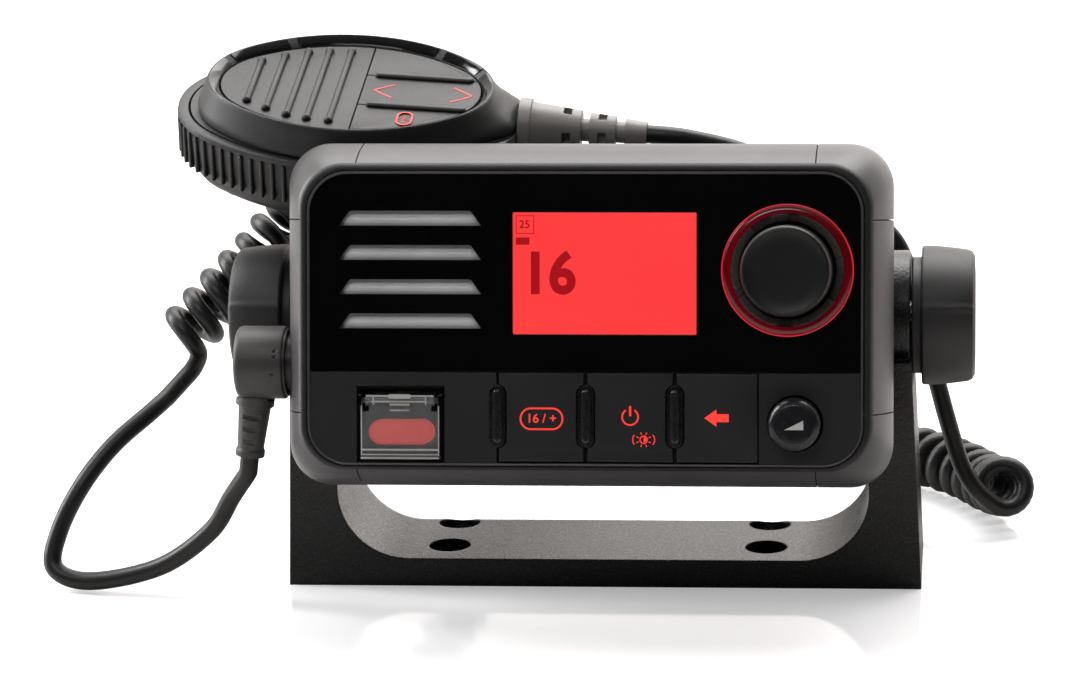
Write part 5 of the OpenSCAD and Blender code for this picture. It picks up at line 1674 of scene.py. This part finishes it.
    def face(self) -> None:
        """Matt left half with its ribs, and the keys on the right."""
        far = 60.0
        left = slab(self.clipped(-far, self.seam_x - 0.12, -far, far, 0), -2.6, 0.05, 0.12)
        report(left.piece("mic_face", Frame.MIC, MIC_FACE, 40), "mic", "mic_shell")
        ribs = Shell()
        for x, half in ((-28.2, 12.2), (-22.0, 16.2), (-15.6, 19.2), (-9.6, 20.6), (-3.2, 21.2)):
            ribs.grow(self.capsule(half, 0.95, 1.35).moved(Matrix.Translation((x, 0, 0.35))))
        report(ribs.piece("mic_ribs", Frame.MIC, MIC_FACE, 50), "mic", "mic_shell")
        bars = Shell()
        for y in self.rib_y:
            bars.grow(slab(round_box(29.0, 3.0, 1.45, 8, 20.2, y), -2.0, 1.25, 1.0, 0.1))
        report(bars.piece("mic_key_bars", Frame.MIC, MIC_BAND, 50), "mic", "mic_band")
        base = slab(self.clipped(self.seam_x, far, -far, far, -0.1), -3.8, -2.75, 0.1)
        report(base.piece("mic_key_floor", Frame.MIC, DARK_PLASTIC, 40), "mic", "mic_shell")
        y1, y0 = self.rib_y
        keys = (("top", "mic_top", "mic_key_top", y1 + 0.18, far),
                ("rocker", "mic_rock", "mic_rocker", y0 + 0.18,
                y1 - 0.18), ("low", "mic_bottom", "mic_key_bottom", -far, y0 - 0.18))
        for name, body, node, low, high in keys:
            pad = slab(self.clipped(self.seam_x + 0.25, far, low, high, 0.15), -1.7, 0.12, 0.2)
            report(pad.piece("mic_pad_" + name, Frame.MIC, MIC_FACE, 40), body, "mic_key", node)
        self.arrows()

    @staticmethod
    def stroke(a: Flat, b: Flat, wide: float, z: float) -> Shell:
        """A flat bar from a to b.

        Args:
            a: start.
            b: end.
            wide: the bar's width.
            z: height of its underside.

        Returns:
            The bar.
        """
        size = math.dist(a, b)
        px, py = (a[1] - b[1]) / size * wide / 2, (b[0] - a[0]) / size * wide / 2
        ring = [(p[0] + sign * px, p[1] + sign * py) for p, sign in ((a, -1), (b, -1), (b, 1), (a, 1))]
        return slab(ring, z, z + 0.1, 0.02)

    def arrows(self) -> None:
        """Red outline arrows on the rocker and the red pill on the lower key."""
        marks = Shell()
        for tip, tail, half in ((6.9, 12.4, 4.0), (35.2, 29.4, 4.4)):
            for s in (-1, 1):
                marks.grow(self.stroke((tip, -1 + s * 0.15), (tail, -1 + s * half), 0.65, 0.11))
        report(marks.piece("mic_arrows", Frame.MIC, MIC_RED, 50), "mic_rock", "mic_key")
        pill = Face().outline_mark(round_box(4.8, 7.8, 2.35, 10, *self.pill_at), 0.6, 0.1, 0.5)
        report(pill.piece("mic_pill", Frame.MIC, MIC_RED, 50), "mic_bottom", "mic_key")
        words = Face.text("mic_16", "16/+", 1.6, self.pill_at, 0.1, MIC_RED, 0.05, 90, Frame.MIC)
        report(words, "mic_bottom", "mic_key")

    @staticmethod
    def rib_tree() -> bpy.types.NodeTree:
        """Geometry Nodes tree that stands ribs along a path, square to it.

        Returns:
            The tree.
        """
        tree = bpy.data.node_groups.new("grip ribs", "GeometryNodeTree")
        for name, way, kind in (("Path", "INPUT", "Geometry"), ("Rib", "INPUT", "Object"),
                                ("Count", "INPUT", "Int"), ("Finish", "INPUT", "Material"),
                                ("Ribs", "OUTPUT", "Geometry")):
            tree.interface.new_socket(name, in_out=way, socket_type="NodeSocket" + kind)
        given = add(tree, "NodeGroupInput")
        line = add(tree, "GeometryNodeMeshToCurve", links={0: given.outputs["Path"]})
        even = add(tree, "GeometryNodeResampleCurve",
                   links={"Curve": line.outputs[0], "Count": given.outputs["Count"]})
        rib = add(tree, "GeometryNodeObjectInfo", links={"Object": given.outputs["Rib"]})
        way = add(tree, "GeometryNodeInputTangent")
        turn = add(tree, "FunctionNodeAlignRotationToVector", {"axis": "X"}, None, {"Vector": way.outputs[0]})
        stand = add(tree, "GeometryNodeInstanceOnPoints", None, None, {"Points": even.outputs[0],
                    "Instance": rib.outputs["Geometry"], "Rotation": turn.outputs[0]})
        whole = add(tree, "GeometryNodeRealizeInstances", links={0: stand.outputs[0]})
        dress = add(tree, "GeometryNodeSetMaterial", links={"Geometry": whole.outputs[0],
                    "Material": given.outputs["Finish"]})
        add(tree, "NodeGroupOutput", links={0: dress.outputs[0]})
        return tree

    @staticmethod
    def ribs_along(path: Sequence[Flat], count: int, tree: bpy.types.NodeTree, rib: bpy.types.Object,
                   z: float) -> bpy.types.Mesh:
        """Runs the tree on one path and gives the plain mesh, in millimetres.

        Args:
            path: the line that the ribs stand on.
            count: number of ribs.
            tree: the Geometry Nodes tree.
            rib: one rib.
            z: the line's height.

        Returns:
            The mesh.
        """
        mesh = bpy.data.meshes.new("rib path")
        mesh.from_pydata([(x, y, z) for x, y in path], [(i, i + 1) for i in range(len(path) - 1)], [])
        holder = bpy.data.objects.new("rib path", mesh)
        bpy.context.collection.objects.link(holder)
        mod = holder.modifiers.new("ribs", "NODES")
        mod.node_group = tree
        names = {item.name: item.identifier for item in tree.interface.items_tree if item.in_out == "INPUT"}
        mod[names["Rib"]] = rib
        mod[names["Count"]] = count
        mod[names["Finish"]] = MIC_BAND.material()
        graph = bpy.context.evaluated_depsgraph_get()
        out = bpy.data.meshes.new_from_object(holder.evaluated_get(graph))
        bpy.data.objects.remove(holder)
        return out

    def band(self) -> None:
        """Grip band with its lip, and ribs along the sides and round the left end."""
        rows = [(47.5, 31.4, 23.3, 9.2, -7.4), (49.6, 33.2, 24.8, 9.6, -7.25), (50.4, 34.0, 25.6, 9.8, -7.6),
                (50.6, 34.15, 25.8, 9.9, -8.6), (50.0, 33.7, 25.4, 9.8, -9.4), (49.9, 33.6, 25.3, 9.8, -12.0),
                (49.7, 33.4, 25.1, 9.7, -17.0), (49.2, 32.9, 24.8, 9.6, -20.4),
                (48.3, 32.1, 24.1, 9.4, -22.2), (47.1, 31.1, 23.1, 9.1, -22.6), (46.9, 30.9, 22.9, 9.0, -20.0),
                (46.9, 30.9, 22.9, 9.0, -9.0)]
        band = Shell().loft(self.rings(rows), loop=True)
        report(band.piece("mic_band_skin", Frame.MIC, MIC_BAND, 40), "mic", "mic_band", "mic_grip_band")
        tree = self.rib_tree()
        rib_mesh = slab(round_box(1.15, 11.6, 0.55, 5), -0.6, 0.75, 0.45)
        rib_mesh = rib_mesh.moved(Matrix.Rotation(math.pi / 2, 4, "X"))
        rib = bpy.data.objects.new("rib", bpy.data.meshes.new("rib"))
        rib.data.from_pydata(rib_mesh.verts, [], rib_mesh.faces)
        bpy.context.collection.objects.link(rib)
        outline = self.body_outline(49.95, 33.7, 25.4, 9.8)
        n = self.count
        around = [outline[i % n] for i in range(int(n * 0.69), int(n * 1.345))]
        mesh = self.ribs_along(around, 51, tree, rib, -15.2)
        bpy.data.objects.remove(rib)
        mesh.transform(Frame.MIC.matrix() @ Matrix.Scale(0.001, 4))
        mesh.shade_smooth()
        mesh.set_sharp_from_angle(angle=math.radians(50))
        made = bpy.data.objects.new("mic_band_ribs", mesh)
        bpy.context.collection.objects.link(made)
        report(made, "mic", "mic_band")

    def back(self) -> None:
        """Domed back shell."""
        rows = [(46.8, 30.8, 22.8, 9.0, -7.3), (46.8, 30.8, 22.8, 9.0, -22.8), (46.5, 30.5, 22.6, 9.0, -24.5),
                (45.2, 29.6, 21.8, 8.6, -26.4), (42.5, 27.4, 20.0, 0, -28.2), (39.0, 24.5, 17.5, 0, -30.0),
                (36.0, 22.0, 15.0, 0, -30.8), (30.0, 17.0, 11.0, 0, -31.0)]
        report(Shell().loft(self.rings(rows)).piece("mic_back", Frame.MIC, MIC_FACE, 40), "mic", "mic_shell",
               "mic_back_shell")

    def build(self) -> None:
        """Makes the microphone's visible pieces."""
        self.crest()
        self.face()
        self.band()
        self.back()


# the finish of each CAD node that stays in view or inside
CAD_FINISHES: tuple[tuple[Surface, str], ...] = (
    (BRACKET_NYLON, "bracket"), (PAD_RUBBER, "friction_pads"), (PANEL_BLACK, "front_panel distress_frame"),
    (STRIP_RUBBER, "key_strip"), (DARK_PLASTIC, "lcd_module speaker_basket power_inlet mic_socket cover_pin"),
    (GUIDE, "lcd_backlight"), (CONE, "speaker_cone"), (BOARD, "main_board mic_board"),
    (STEEL, "speaker_magnet case_screws main_shaft vol_shaft clamp_bolt_left clamp_bolt_right mic_screws"),
    (SHIELD, "encoder_main encoder_vol power_module mic_speaker"), (GASKET, "case_gasket"),
    (CHASSIS_COAT, "rear_chassis"), (NICKEL, "antenna_socket mic_hang_stud"), (BRASS, "thread_inserts"),
    (PLUG_SKIN, "plug_boot"), (COVER_CLEAR, "distress_cover"), (BOOT_GREY, "mic_boot"), (MIC_BAND, "mic_ptt"),
)


def dress(frame: dict) -> None:
    """Gives every CAD node that stays its material.
    """
    for finish, names in CAD_FINISHES:
        for name in names.split():
            for place in frame["nodes"][name].material_slots:
                place.material = finish.material()
            LOG.info("%s: dressed in %s", name, finish.name)


def main() -> None:
    logging.basicConfig(level=logging.INFO, format="%(message)s")
    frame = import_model()
    Studio().build()
    Cords().build()
    Casing().build()
    Face().build()
    Clamps().build()
    Plug().build()
    Mic().build()
    dress(frame)


if __name__ == "__main__":
    main()
